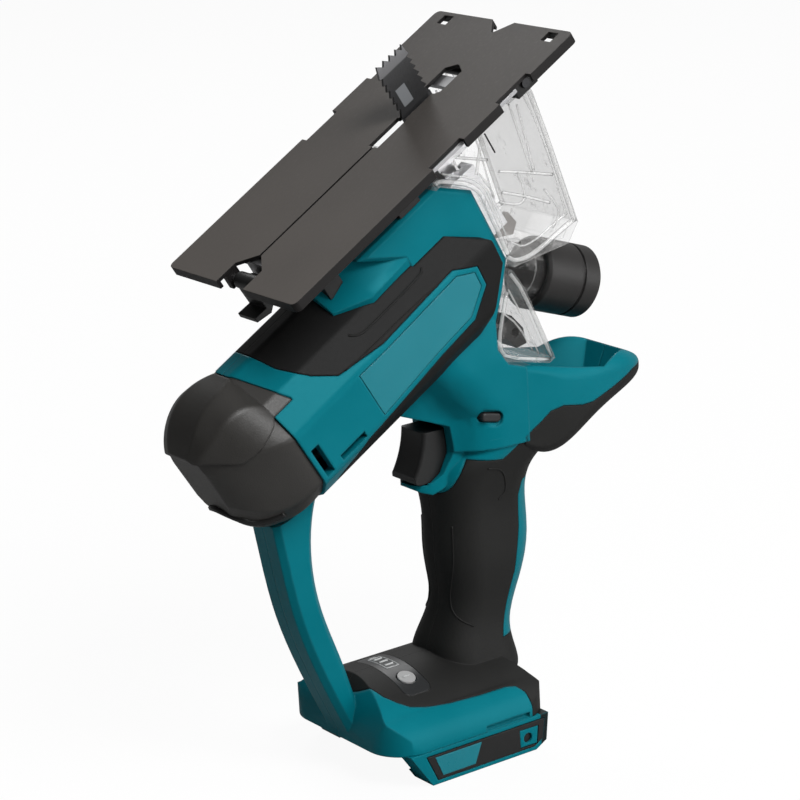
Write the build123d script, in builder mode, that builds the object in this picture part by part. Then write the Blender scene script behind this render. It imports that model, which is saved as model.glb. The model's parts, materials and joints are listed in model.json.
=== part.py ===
"""Cordless drywall saw: a motor barrel and gear head that carry a tilted base plate, a D-shaped
grip with a hand guard, and a foot with rails for a slide-on battery.

Millimetres and degrees. +X runs from the hand guard to the tail, +Y to the operator's right and
+Z up. The origin is the middle of the battery rails, on the plane that they stand on. The deck
frame (u, y, n) lies in the working face of the base plate: u climbs the plate from its low end
and n points out of it, the way the blade cuts. Heights m are counted from the motor axis."""

import os
from math import acos, asin, cos, pi, radians, sin, tan

from build123d import *

os.makedirs("parts", exist_ok=True)

# Clearances
FIT = 0.1
RUN = 0.05
GAP = 0.4
SEAM = 0.25

# Deck
DECK_TILT = 31.0
DECK_X = -75.0
DECK_Z = 207.2

# Barrel
MOTOR_N = -57.0
BARREL_FRONT = -23.0
BARREL_TOP = 31.4
BARREL_BOTTOM = 31.0
BARREL_HALF = 29.5
BARREL_ROUND = 6.0
BARREL_WALL = 4.4
TOP_FLAT = 5.4
SHOULDER_Y = 20.0
SHOULDER_DROP = 10.4
SIDE_TOP = 7.0
SIDE_LOW = 17.0
HIP_Y = 20.5
HIP_RISE = 5.0
KEEL_FLAT = 9.0
NOSE_U = 89.0
LABEL_BORDER = 2.0
LABEL_DEPTH = 0.6

# Motor end cap
CAP_END_U = -55.5
CAP_TONGUE_M = 16.0
CAP_SHELL = 3.6
CAP_JAW = 1.2

# Gear head and the swelling under the plate
HEAD_HALF = 21.2
HEAD_TOP = -19.5
HEAD_FRONT = 40.0
HEAD_BACK = 97.0
BULGE_FRONT = 22.5
BULGE_MIDDLE = 37.0
BULGE_BACK = 62.0
BULGE_TOP = -18.8

# Body, tail and grip
BODY_HALF = 23.4
BODY_FRONT = 15.5
SCOOP_FLOOR = 134.0
SCOOP_RIM = 146.0
SCOOP_SLOPE = 25.0
SKIN = 1.8
GRIP_WALL = 4.6

# Hand guard
GUARD_WIDTH = 19.4
GUARD_BEVEL = 2.4

# Foot and battery rails
FOOT_WIDTH = 77.0
FOOT_FRONT = -39.0
FOOT_BACK = 42.0
FOOT_TOP = 39.0
FOOT_CORNER = 16.0
FOOT_SHOULDER = 28.6
FOOT_SHOULDER_Y = 29.0
RAIL_TOP = 14.5
RAIL_GAP = 58.0
RAIL_LIP = 3.0
RAIL_LIP_HEIGHT = 4.0
CHANNEL_END = 33.0
PAD = 2.2
INLAY_DEPTH = 1.4
INLAY_PROUD = 0.2
FOOT_SCREW_X = 27.0
FOOT_SCREW_Z = 6.3

# Base plate, frame, hinge and latch
PLATE_LENGTH = 157.0
PLATE_WIDTH = 86.0
PLATE_SHEET = 1.6
PLATE_LIP = 4.0
FRAME_SHEET = 1.6
FRAME_WIDTH = 80.0
FRAME_FRONT = 14.0
FRAME_BACK = 125.0
HINGE_U = 134.0
HINGE_DROP = 7.6
HINGE_PIN_RADIUS = 2.0
HINGE_EYE = 5.4
HINGE_Y = 25.5
HINGE_LUG = 6.5
HINGE_LUG_LENGTH = 11.0
HINGE_LUG_DROP = 11.2
LATCH_U = 7.5
LATCH_DROP = 5.2
LATCH_PIN_RADIUS = 1.5
LATCH_HALF = 6.0
LATCH_EAR = 3.0
NOTCH_HALF = 9.1

# Clear dust case, its port and the lower cover
CASE_HALF = 24.0
CASE_WALL = 2.0
PORT_X = 69.6
PORT_Z = 184.4
PORT_DROP = 19.0
PORT_RADIUS = 12.0
PORT_BORE = 10.0
PORT_SEAT = -8.0
PORT_END = 18.0
CUP_RADIUS = 14.9
CUP_LENGTH = 24.0
CUP_BACK = 4.0
CUP_WALL = 2.5
COVER_HALF = 21.5

# Motor
MOTOR_RADIUS = 22.0
MOTOR_BACK = -34.0
MOTOR_LENGTH = 62.0
MOTOR_WALL = 3.0
SHAFT_RADIUS = 2.5
SHAFT_BACK = -41.0
CORE_RADIUS = 17.0
CORE_BACK = -12.0
CORE_LENGTH = 34.0
BRUSH_RADIUS = 8.0
MOTOR_BEARING_RADIUS = 8.0
MOTOR_BEARING_WIDTH = 5.0
MOTOR_PLATE_U = 40.0
MOTOR_PLATE = 6.0
FAN_RADIUS = 18.0
FAN_U = 30.0
FAN_WIDTH = 7.0

# Gears and crank
GEAR_MODULE = 0.8
PRESSURE_ANGLE = 25.0
PINION_TEETH = 10
CRANK_TEETH = 25
BACKLASH = 0.16
GEAR_U = 48.0
GEAR_WIDTH = 8.0
CRANK_SHAFT_RADIUS = 4.0
CRANK_BEARING_RADIUS = 10.0
CRANK_BEARING_WIDTH = 6.0
CRANK_THROW = 3.0
CRANK_PIN_RADIUS = 2.5
CRANK_DISC_RADIUS = 8.0
CRANK_DISC = 3.6
GEAR_CASE_U = 57.5
GEAR_CASE_END = 92.0
GEAR_CASE_HALF = 16.0
GEAR_CASE_RISE = 15.5

# Slider and blade
YOKE_U = 97.0
YOKE_THICKNESS = 6.0
YOKE_HALF = 10.0
YOKE_RISE = 13.0
RAIL_BAR_RISE = 15.0
JAW_TOP = -9.0
JAW_FLOOR = -24.0
JAW_HALF = 6.0
BLADE_U = 105.5
BLADE_WIDTH = 16.4
BLADE_TIP = 24.0
BLADE_THICKNESS = 1.1
TOOTH_PITCH = 3.0
TOOTH_DEPTH = 1.5
CLAMP_BOLT_RADIUS = 2.5
CLAMP_N = -16.0
LEVER_U = 104.5
LEVER_N = -61.0
LEVER_HUB = 4.4
LEVER_PIN_RADIUS = 1.5

# Trigger, switch and buttons
TRIGGER_HALF = 8.0
TRIGGER_TRAVEL = 6.0
TRIGGER_BACK = 17.5
TRIGGER_TOP = 132.6
SWITCH_X = 25.6
SWITCH_END = SWITCH_X + 24.0
SWITCH_HALF = 12.0
SWITCH_LOW = 110.0
SWITCH_TOP = 132.5
PLUNGER_Z = 124.0
PLUNGER_RADIUS = 3.0
LOCK_X = 28.2
LOCK_Z = 137.4
LOCK_TILT = -12.5
LOCK_LENGTH = 9.4
LOCK_HEIGHT = 3.6
LOCK_TRAVEL = 3.6
LOCK_SLOT_X = 26.5
LOCK_SLOT_LENGTH = 13.8
LOCK_SLOT_HEIGHT = 6.6
LOCK_SLOT_DEPTH = 2.0
GAUGE_X = -14.0
GAUGE_Y = -5.0
GAUGE_LENGTH = 13.0
GAUGE_WIDTH = 36.0
GAUGE_SHEET = 1.2
BUTTON_Y = -14.0
BUTTON_RADIUS = 3.8
BUTTON_HEIGHT = 1.8
BUTTON_STEM = 1.6
BUTTON_TRAVEL = 0.5

# Screws through the two halves: X, Z, half width of the housing there
SCREWS = [
    (38.0, 148.0, 23.0),
    (66.0, 124.0, 22.0),
    (30.7, 186.7, 20.8),
    (33.0, 60.0, 14.0),
    (-56.0, 88.0, 8.6),
    (-33.0, 21.0, 24.0),
]
SCREW_RADIUS = 1.45
SCREW_HEAD_RADIUS = 2.7
SCREW_HEAD = 2.2
SCREW_SUNK = 2.0
PILLAR_RADIUS = 4.2

DECK = Plane(
    origin=(DECK_X, 0, DECK_Z),
    x_dir=(cos(radians(DECK_TILT)), 0, sin(radians(DECK_TILT))),
    z_dir=(-sin(radians(DECK_TILT)), 0, cos(radians(DECK_TILT))),
)
PORT = Plane(
    origin=(PORT_X, 0, PORT_Z),
    x_dir=(0, 1, 0),
    z_dir=(cos(radians(PORT_DROP)), 0, -sin(radians(PORT_DROP))),
)
CRANK_N = MOTOR_N + GEAR_MODULE * (PINION_TEETH + CRANK_TEETH) / 2
FRAME_TOP = -PLATE_SHEET - 0.3
FRAME_LOW = FRAME_TOP - FRAME_SHEET
PLATE_HALF = PLATE_WIDTH / 2
FOOT_ARCH = (FOOT_SHOULDER_Y**2 + (FOOT_TOP - FOOT_SHOULDER)**2) / (2 * (FOOT_TOP - FOOT_SHOULDER))
BUTTON_TILT = asin(BUTTON_Y / FOOT_ARCH)
BUTTON = Plane(
    origin=(GAUGE_X, BUTTON_Y, FOOT_TOP - FOOT_ARCH + FOOT_ARCH * cos(BUTTON_TILT)),
    x_dir=(1, 0, 0),
    z_dir=(0, sin(BUTTON_TILT), cos(BUTTON_TILT)),
)
FOOT_ROOM_TOP = 29.0

# Tail sections: X, lowest and highest Z, half width, corner radius
TAIL_SECTIONS = [
    (44.0, 122.0, 154.7, BODY_HALF, 2.6),
    (60.0, 115.5, 152.6, 23.2, 5.6),
    (76.0, 119.8, 151.5, 22.6, 9.0),
    (92.0, 128.0, 151.0, 21.6, 9.0),
    (105.0, 133.4, 147.6, 18.4, 6.0),
    (112.0, 136.0, 144.0, 13.4, 3.4),
    (115.6, 137.0, 141.8, 8.0, 2.3),
]

# Grip sections: Z, middle X, half length, half width, corner radius
GRIP_SECTIONS = [
    (26.0, 22.5, 20.0, 20.0, 12.5),
    (38.0, 25.0, 18.8, 18.0, 13.2),
    (51.0, 28.4, 17.0, 15.2, 12.6),
    (66.0, 32.6, 18.8, 15.5, 13.0),
    (84.0, 33.8, 21.2, 16.2, 13.6),
    (100.0, 33.3, 21.2, 16.5, 13.6),
    (110.0, 33.6, 22.8, 18.3, 14.6),
    (120.0, 40.7, 25.2, 21.6, 17.4),
    (128.0, 41.5, 26.0, 23.2, 19.6),
]

# Right-hand half outline of the barrel, y and m
BARREL_RING = [
    (TOP_FLAT, BARREL_TOP),
    (SHOULDER_Y, BARREL_TOP - SHOULDER_DROP),
    (BARREL_HALF, SIDE_TOP),
    (BARREL_HALF, -SIDE_LOW),
    (HIP_Y, HIP_RISE - BARREL_BOTTOM),
    (KEEL_FLAT, -BARREL_BOTTOM),
]

# End cap: u of each ring, its right-hand half outline, y and m, and its corner radius
CAP_RINGS = [
    (BARREL_FRONT, BARREL_RING, BARREL_ROUND),
    (-29.0, [(8, 32), (19.2, 25.4), (28.8, 8.6), (28.2, -17.4), (20.4, -26.4), (9, -31)], 5.4),
    (-37.0, [(9, 31.8), (18.4, 26.4), (26.2, 11), (25.2, -17.6), (19, -26), (9, -30.6)], 4.8),
    (-46.0, [(9, 28.2), (16.4, 23.8), (21.6, 12), (20.8, -13.6), (15.4, -22.6), (7.6, -27)], 4.2),
    (CAP_END_U, [(6, 19.5), (11, 17), (12.5, 12), (12, -6), (9.5, -11), (5, -13)], 3.0),
]

# Right-hand edge, u and y, of the end cap's two points over the shoulders of the barrel
TONGUE_EDGE = [(-32, 40), (-20, 40), (-13, 22.6), (-15.3, 20), (-22.4, 4)]

# Side outline, u and m, of the upper part of the end cap that overhangs the rest
VISOR_OUTLINE = [
    (-60, 19.5), (-52, 16.5), (-43.5, 11), (-35, 12), (-26, 14.4), (-17.6, 20), (-12, 40), (-60, 40),
]

# Right-hand edge, X and y, of the body's front, from the keel of the barrel to the full width
BODY_EDGE = [(-9.5, 5), (0, 8.6), (10, 10.8), (16, 13.6), (22, 18.8), (30, 22.4), (40, BODY_HALF)]

# Body sections: Z, how far that edge moves forward, half width
BODY_SECTIONS = [(118, 0, BODY_HALF), (138, 0, BODY_HALF), (158, 18, BODY_HALF), (178, 32, HEAD_HALF)]

# Right-hand rim, X and y, of the dish in the tail
SCOOP_EDGE = [(54, 17.5), (87, 21.2), (105, 11.5)]

# Side outlines, u and n: the rubber band of the barrel and the bare panel that it frames
BAND_OUTLINE = [(-11, 0), (NOSE_U + 11, 0), (NOSE_U + 11, -110), (-15.5, -110), (-15.5, -81.2), (-11, -25.5)]
PANEL_OUTLINE = [
    (-40, -20), (-11, -25.5), (-8.6, -31.9), (-1.5, -40), (6.2, -45.9), (27.9, -48.7), (68.7, -47.7),
    (77.8, -53.2), (77.1, -62), (65.3, -69.8), (45.6, -70.5), (1.4, -74.2), (-15.5, -81.2), (-40, -81.2),
]
LABEL_OUTLINE = [
    (10, -48.5), (27.9, -48.7), (68.7, -47.7), (77.8, -53.2), (77.1, -62), (65.3, -69.8), (45.6, -70.5),
    (10, -73.4),
]

# Side outlines, X and Z, of the foot below the rails' ceiling, of its inlay, of the bare patch in the inlay
# and of the badge
FOOT_OUTLINE = [(-21, 0), (31, 0), (36.4, 3), (37.8, RAIL_TOP), (-31, RAIL_TOP)]
INLAY_OUTLINE = [(-23.6, 12.8), (35.8, 12.8), (34.4, 4), (30, 1.6), (-18.5, 1.6)]
PATCH_OUTLINE = [(22.9, 10.4), (32.2, 10.2), (31.4, 3), (23.1, 3)]
BADGE_OUTLINE = [(-19.5, 11.6), (3.5, 11.6), (0, 3.2), (-16, 3.2)]

# Right-hand edge, X and y, of the soft skin on the foot
PAD_EDGE = [
    (-34.5, 2), (-33.4, 8), (-32.4, 11.5), (-29.7, 19.7), (-26.1, 23.9), (-22, 26.9), (-15.9, 28.5), (-4.9, 30.2),
    (9.5, 31), (22, 31.1), (26.4, 32), (29.2, 34.8), (30.2, 38), (30.2, 60), (60, 60),
]

# Right-hand edge, X and y, and side outline, X and Z, of the collar under and behind the trigger
LIP_EDGE = [(0, 2), (3, 6.8), (7, 9.6), (12, 11), (18, 13.4), (26, 15)]
LIP_OUTLINE = [
    (0.2, 110.2), (0.6, 111.2), (7, 112.2), (11.5, 115.2), (15.4, 122.4), (16.2, 130.5), (16.2, 139), (26, 139),
    (26, 124), (20, 118.5), (15.5, 112.6), (11.5, 109), (7, 107.2), (3, 108.4),
]

# Side outline, X and Z, of the rubber on the grip
GRIP_OUTLINE = [
    (-5, 106), (7.4, 106.2), (11.8, 106.5), (13, 107.8), (14.1, 109.7), (15.4, 112.7), (17.3, 116.6), (19.9, 120.5),
    (33.7, 118.7), (39.1, 122.3), (45, 126.6), (52.1, 130.4), (57.3, 133.9), (64, 134.8), (74.2, 132.8),
    (80, 132.9), (88, 135.5), (104, 141), (125, 143), (125, 90), (60, 20), (0, 20), (-5, 100),
]

# Side outline, X and Z, of the bare stripe down the back of the grip
STRIPE_OUTLINE = [
    (33.5, 42), (38.1, 57.7), (41.7, 68.4), (44.3, 87), (44.6, 100), (47, 106), (80, 106), (80, 42),
]

# Side outlines of the dust case, u and n, and of the lower cover, X and Z, each with its inside
CASE_BACK = HINGE_U + HINGE_EYE + 0.1
CASE_OUTLINE = [
    (82, FRAME_LOW), (HINGE_U + 1.5, FRAME_LOW), (CASE_BACK, -HINGE_DROP), (CASE_BACK, -18), (135, -43),
    (128.6, -75.4), (120, -79.5), (94, -69.2), (HEAD_BACK - 1.6, -66.8), (HEAD_BACK + 0.3, HEAD_TOP - 12.9),
    (HEAD_BACK - 12.8, HEAD_TOP + 0.1), (82, HEAD_TOP + 0.1),
]
CASE_ROOM = [
    (82 + CASE_WALL, 5), (CASE_BACK - CASE_WALL, 5), (CASE_BACK - CASE_WALL - 0.1, -18),
    (135 - CASE_WALL, -42.7), (126.8, -74), (120.2, -77.3), (93, -66.5), (70, -58), (70, -30), (86.4, -22),
    (82 + CASE_WALL, HEAD_TOP + 2),
]
COVER_OUTLINE = [
    (40.3, 194.4), (42.2, 194.6), (48.4, 185.6), (62, 154.8), (59, 153.2), (37.4, 158.2), (33.4, 164), (34.2, 172),
    (38.5, 186.4),
]
COVER_ROOM = [
    (38.8, 192.4), (41, 192.6), (46.5, 184.6), (59.2, 156), (58, 155.5), (38.6, 160), (35.6, 165),
    (30, 166), (30, 178), (36.4, 178),
]

# Side outline, X and Z, of the clip inside the lower cover
CLIP_OUTLINE = [
    (33, 171), (41, 171), (45, 174.5), (50.5, 168.5), (52, 161.8), (47, 160.8), (42, 165.5), (33, 166.5),
]

# Right-hand half outlines, u and y, of the openings in the base plate
NOTCH = [(-1, NOTCH_HALF), (10.5, NOTCH_HALF), (17.1, 0.6), (84, 0.6)]
SAW_SLOT = [(80.5, 3), (97, 3), (97, 1.8), (113, 1.8), (113, 3.2), (115, 5.5), (127, 5.5), (130, 0.5)]
END_NOTCH = [(PLATE_LENGTH + 1, 7.8), (150, 0.4)]


def deck_point(u, y, n):
    return DECK.from_local_coords((u, y, n))


def deck_side(y=0.0):
    """Plane seen from the left: local x is u and local y is n."""
    return Plane(deck_point(0, y, 0), x_dir=DECK.x_dir, z_dir=(0, -1, 0))


def deck_axis(u, n):
    """The same view, with its origin on the given axis along Y."""
    return Plane(deck_point(u, 0, n), x_dir=DECK.x_dir, z_dir=(0, -1, 0))


def deck_level(n):
    """Plane parallel to the plate: local x is u and local y is +Y."""
    return Plane(deck_point(0, 0, n), x_dir=DECK.x_dir, z_dir=DECK.z_dir)


def deck_across(u, n=0.0):
    """Plane square to u: local x is +Y and local y is n, counted from the given n."""
    return Plane(deck_point(u, 0, n), x_dir=(0, 1, 0), z_dir=DECK.x_dir)


def mirrored(half):
    """A right-hand half outline, closed with its mirror image."""
    return half + [(-y, m) for y, m in reversed(half)]


def slab(plane, points, half, inset=0.0, edge=0.0):
    """A side outline made solid to both sides of its plane."""
    with BuildPart() as form:
        with BuildSketch(plane):
            with BuildLine():
                Polyline(*points, close=True)
            make_face()
            if inset:
                offset(amount=-inset, kind=Kind.INTERSECTION, mode=Mode.REPLACE)
        extrude(amount=half, both=True)
        if edge:
            chamfer(form.faces().filter_by(Axis.Y).edges(), edge)
    return form.part


def deck_box(u0, u1, y0, y1, n0, n1):
    points = [(u0, n0), (u1, n0), (u1, n1), (u0, n1)]
    return slab(deck_side((y0 + y1) / 2), points, (y1 - y0) / 2)


def world_box(x0, x1, y0, y1, z0, z1):
    points = [(x0, z0), (x1, z0), (x1, z1), (x0, z1)]
    return slab(Plane.XZ.offset(-(y0 + y1) / 2), points, (y1 - y0) / 2)


def rod(u0, u1, radius, n, bore=0.0):
    """A round bar or ring along u."""
    with BuildPart() as form:
        with BuildSketch(deck_across(u0, n)):
            Circle(radius)
            if bore:
                Circle(bore, mode=Mode.SUBTRACT)
        extrude(amount=u1 - u0)
    return form.part


def cross_pin(plane, radius, y0, y1):
    """A round bar along Y through the origin of a side plane."""
    with BuildPart() as form:
        with BuildSketch(plane.offset(-y1)):
            Circle(radius)
        extrude(amount=y1 - y0)
    return form.part


def screw_axis(x, z):
    return Plane((x, 0, z), x_dir=(1, 0, 0), z_dir=(0, -1, 0))


def gear_points(teeth):
    """Outline of an involute gear with one tooth on +y and half the backlash taken from each gear."""
    pitch = GEAR_MODULE * teeth / 2
    base = pitch * cos(radians(PRESSURE_ANGLE))
    tip = pitch + 0.85 * GEAR_MODULE
    root = pitch - 1.1 * GEAR_MODULE
    half = pi / (2 * teeth) - BACKLASH / (4 * pitch) + tan(radians(PRESSURE_ANGLE)) - radians(PRESSURE_ANGLE)
    start = max(base, root)
    flank = [(root, half)] if root < base else []
    for step in range(6):
        r = start + (tip - start) * step / 5
        roll = acos(min(1.0, base / r))
        flank.append((r, half - tan(roll) + roll))
    points = []
    for tooth in range(teeth):
        middle = pi / 2 + 2 * pi * tooth / teeth
        points += [(r * cos(middle - a), r * sin(middle - a)) for r, a in flank]
        points += [(r * cos(middle + a), r * sin(middle + a)) for r, a in reversed(flank)]
    return points


def gear(teeth, u0, u1, n, bore):
    with BuildPart() as form:
        with BuildSketch(deck_across(u0, n)):
            with BuildLine():
                Polyline(*gear_points(teeth), close=True)
            make_face()
            Circle(bore, mode=Mode.SUBTRACT)
        extrude(amount=u1 - u0)
    return form.part


def blade_points():
    """Blade outline, u and n: two toothed edges that narrow a little to a toothed tip."""
    left = BLADE_U - BLADE_WIDTH / 2
    right = BLADE_U + BLADE_WIDTH / 2
    count = int((BLADE_TIP - 4) / TOOTH_PITCH)
    points = [(left, JAW_FLOOR), (left, 1)]
    for tooth in range(count):
        n = 1 + tooth * TOOTH_PITCH
        points += [(left + TOOTH_DEPTH, n + 0.9 * TOOTH_PITCH), (left, n + TOOTH_PITCH)]
    top = 1 + count * TOOTH_PITCH
    points += [(left + 1.6, BLADE_TIP), (left + 4.2, BLADE_TIP - 2)]
    for tooth in range(3):
        u = left + 5.6 + 3.4 * tooth
        points += [(u, BLADE_TIP), (u + 2.2, BLADE_TIP - 2)]
    points += [(right - 0.8, BLADE_TIP), (right, top)]
    for tooth in reversed(range(count)):
        n = 1 + tooth * TOOTH_PITCH
        points += [(right - TOOTH_DEPTH, n + 0.9 * TOOTH_PITCH), (right, n)]
    return points + [(right, JAW_FLOOR)]


def nose_prism(inset):
    """Side outline of the raised barrel: square at the front, pointed at the back."""
    low = MOTOR_N - BARREL_BOTTOM - 5
    return slab(
        deck_side(),
        [(BARREL_FRONT - 9, 0), (NOSE_U - 31, 0), (NOSE_U - 17.5, MOTOR_N + 23.4), (NOSE_U, MOTOR_N + 7.4),
         (NOSE_U - 1, MOTOR_N - 3.4), (NOSE_U - 17, MOTOR_N - 19.5), (NOSE_U - 31, low),
         (BARREL_FRONT - 9, low)],
        2 * BARREL_HALF,
        inset,
    )


def barrel_form(inset=0.0):
    start = BARREL_FRONT - inset
    with BuildPart() as form:
        with BuildSketch(deck_across(start, MOTOR_N)) as section:
            with BuildLine():
                Polyline(*mirrored(BARREL_RING), close=True)
            make_face()
            fillet(section.vertices(), BARREL_ROUND)
            if inset:
                offset(amount=-inset, mode=Mode.REPLACE)
        extrude(amount=NOSE_U + 3 - start)
        add(nose_prism(inset), mode=Mode.INTERSECT)
    return form.part


def tongue_form(inset=0.0):
    """Upper front of the barrel, where the end cap reaches back over the motor."""
    with BuildPart() as form:
        add(barrel_form(inset))
        with BuildSketch(deck_level(MOTOR_N + CAP_TONGUE_M)):
            with BuildLine():
                Polyline(*TONGUE_EDGE, *[(u, -y) for u, y in reversed(TONGUE_EDGE)], close=True)
            make_face()
            if inset:
                offset(amount=-inset, kind=Kind.INTERSECTION, mode=Mode.REPLACE)
        extrude(amount=BARREL_TOP, mode=Mode.INTERSECT)
    return form.part


def cap_ring(u, half, corner, inset):
    with BuildSketch(deck_across(u, MOTOR_N)) as ring:
        with BuildLine():
            Polyline(*mirrored(half), close=True)
        make_face()
        if inset:
            offset(amount=-inset, kind=Kind.INTERSECTION, mode=Mode.REPLACE)
        fillet(ring.vertices(), max(corner - inset, 0.3))
    return ring.sketch


def cap_form(inset=0.0):
    with BuildPart() as form:
        loft([cap_ring(max(u, CAP_END_U + inset), half, corner, inset) for u, half, corner in CAP_RINGS])
    return form.part


def head_form():
    return slab(
        deck_side(),
        [(HEAD_FRONT, HEAD_TOP), (HEAD_BACK - 13, HEAD_TOP), (HEAD_BACK, HEAD_TOP - 13), (HEAD_BACK - 2, -66.6),
         (HEAD_BACK - 10.7, -75.8), (HEAD_BACK - 22, -86), (HEAD_BACK - 37, -92), (HEAD_FRONT + 17, MOTOR_N),
         (HEAD_FRONT + 17, HEAD_TOP - 14)],
        HEAD_HALF,
        edge=1.5,
    )


def bulge_ring(u, half):
    with BuildSketch(deck_across(u)) as ring:
        with BuildLine():
            Polyline(*mirrored(half), close=True)
        make_face()
    return ring.sketch


def bulge_form():
    top = BULGE_TOP
    rings = [
        (BULGE_FRONT, [(4, top - 1), (11.5, top - 8.5), (15.4, top - 12.6), (13.6, top - 19), (13.6, top - 24)]),
        (BULGE_MIDDLE, [(8, top), (19, top - 11.8), (22.4, top - 15.4), (20, top - 20.4), (20, top - 25)]),
        (BULGE_BACK, [(12, top), (20.2, top - 11.6), (21, top - 15), (20.8, top - 18), (20.8, top - 25)]),
    ]
    with BuildPart() as form:
        loft([bulge_ring(u, half) for u, half in rings], ruled=True)
    return form.part


def body_ring(z, forward, half):
    edge = [(x - forward, y * half / BODY_HALF) for x, y in BODY_EDGE]
    with BuildSketch(Plane.XY.offset(z)) as ring:
        with BuildLine():
            right = Spline(*edge, tangents=((1, 0.4), (1, 0)))
            left = Spline(*[(x, -y) for x, y in edge], tangents=((1, -0.4), (1, 0)))
            Polyline(right @ 1, (52, half), (52, -half), left @ 1)
            Line(left @ 0, right @ 0)
        make_face()
    return ring.sketch


def body_form():
    side = slab(
        Plane.XZ,
        [(-9, 146), (18, 176), (33, 176), (32.5, 164), (37, 157.5), (46, 154.6), (46, 124), (BODY_FRONT, 124),
         (BODY_FRONT, 126), (BODY_FRONT - 1, TRIGGER_TOP + 2), (-9, 143.5)],
        BODY_HALF + 1,
    )
    with BuildPart() as form:
        loft([body_ring(z, forward, half) for z, forward, half in BODY_SECTIONS], ruled=True)
        add(side, mode=Mode.INTERSECT)
    return form.part


def lip_form():
    """The collar under and behind the trigger."""
    with BuildPart() as form:
        add(slab(Plane.XZ, LIP_OUTLINE, BODY_HALF))
        with BuildSketch(Plane.XY.offset(100)):
            with BuildLine():
                Polyline(*LIP_EDGE, *[(x, -y) for x, y in reversed(LIP_EDGE)], close=True)
            make_face()
        extrude(amount=40, mode=Mode.INTERSECT)
    return form.part


def tail_form(inset=0.0):
    with BuildPart() as form:
        for x, low, high, half, r in TAIL_SECTIONS:
            with BuildSketch(Plane.YZ.offset(x)):
                with Locations((0, (low + high) / 2)):
                    RectangleRounded(2 * (half - inset), high - low - 2 * inset, max(r - inset, 0.05))
        loft()
    return form.part


def scoop_form():
    """The six-sided dish in the top of the tail."""
    with BuildPart() as form:
        with BuildSketch(Plane.XY.offset(SCOOP_FLOOR)):
            with BuildLine():
                Polyline(*SCOOP_EDGE, *[(x, -y) for x, y in reversed(SCOOP_EDGE)], close=True)
            make_face()
            inset = (SCOOP_RIM - SCOOP_FLOOR) * tan(radians(SCOOP_SLOPE))
            offset(amount=-inset, kind=Kind.INTERSECTION, mode=Mode.REPLACE)
        extrude(amount=25, taper=-SCOOP_SLOPE)
    return form.part


def grip_form(inset=0.0):
    with BuildPart() as form:
        for z, x, a, b, r in GRIP_SECTIONS:
            with BuildSketch(Plane.XY.offset(z)):
                with Locations((x, 0)):
                    RectangleRounded(2 * (a - inset), 2 * (b - inset), r - inset)
        loft()
    return form.part


def foot_top_form(inset=0.0):
    """Arched upper part of the foot."""
    half = FOOT_WIDTH / 2 - inset
    top = FOOT_TOP - inset
    shoulder = (FOOT_SHOULDER_Y - inset * 0.6, FOOT_SHOULDER - inset * 0.8)
    corner = (half - 2.6, 23 - inset * 0.6)
    middle = (FOOT_FRONT + FOOT_BACK) / 2
    length = FOOT_BACK - FOOT_FRONT - 2 * inset
    with BuildPart() as form:
        with BuildSketch(Plane.YZ.offset(middle)):
            with BuildLine():
                ThreePointArc((-shoulder[0], shoulder[1]), (0, top), shoulder)
                ThreePointArc(shoulder, corner, (half, 16))
                Polyline((half, 16), (half, RAIL_TOP), (-half, RAIL_TOP), (-half, 16))
                ThreePointArc((-half, 16), (-corner[0], corner[1]), (-shoulder[0], shoulder[1]))
            make_face()
        extrude(amount=length, both=True)
        with BuildSketch(Plane.XZ):
            with BuildLine():
                front = Spline((FOOT_FRONT + inset, 17), (FOOT_FRONT + 2 + inset, 27), (-29 + inset, top + 1))
                back = Spline((22 - inset, top + 1), (35 - inset, 30.5), (FOOT_BACK - inset, 17))
                Line(front @ 1, back @ 0)
                Polyline(back @ 1, (FOOT_BACK - inset, RAIL_TOP), (FOOT_FRONT + inset, RAIL_TOP), front @ 0)
            make_face()
        extrude(amount=FOOT_WIDTH, both=True, mode=Mode.INTERSECT)
        with BuildSketch(Plane.XY.offset(RAIL_TOP)):
            with Locations((middle, 0)):
                RectangleRounded(length, 2 * half, FOOT_CORNER - inset)
        extrude(amount=FOOT_TOP, mode=Mode.INTERSECT)
    return form.part


def pad_form(seam):
    """Soft skin over the crown of the foot and down its back."""
    with BuildPart() as form:
        add(foot_top)
        add(foot_core, mode=Mode.SUBTRACT)
        with BuildSketch(Plane.XY.offset(RAIL_TOP)):
            with BuildLine():
                Polyline(*PAD_EDGE, *[(x, -y) for x, y in reversed(PAD_EDGE)], close=True)
            make_face()
            offset(amount=-seam, kind=Kind.INTERSECTION, mode=Mode.REPLACE)
        extrude(amount=FOOT_TOP, mode=Mode.INTERSECT)
    return form.part


def gauge_form(seam):
    """Skin of the crown inside the outline of the charge gauge."""
    with BuildPart() as form:
        add(foot_top)
        add(foot_top_form(GAUGE_SHEET), mode=Mode.SUBTRACT)
        with BuildSketch(Plane.XY.offset(17)):
            with Locations((GAUGE_X, GAUGE_Y)):
                RectangleRounded(GAUGE_LENGTH - 2 * seam, GAUGE_WIDTH - 2 * seam, 3)
        extrude(amount=FOOT_TOP, mode=Mode.INTERSECT)
    return form.part


def button_room():
    with BuildPart() as form:
        with BuildSketch(BUTTON.offset(-BUTTON_HEIGHT - BUTTON_TRAVEL - 0.3)):
            Circle(BUTTON_RADIUS + GAP)
        extrude(amount=10)
        with BuildSketch(BUTTON.offset(-10)):
            Circle(BUTTON_STEM + GAP)
        extrude(amount=10)
    return form.part


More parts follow.
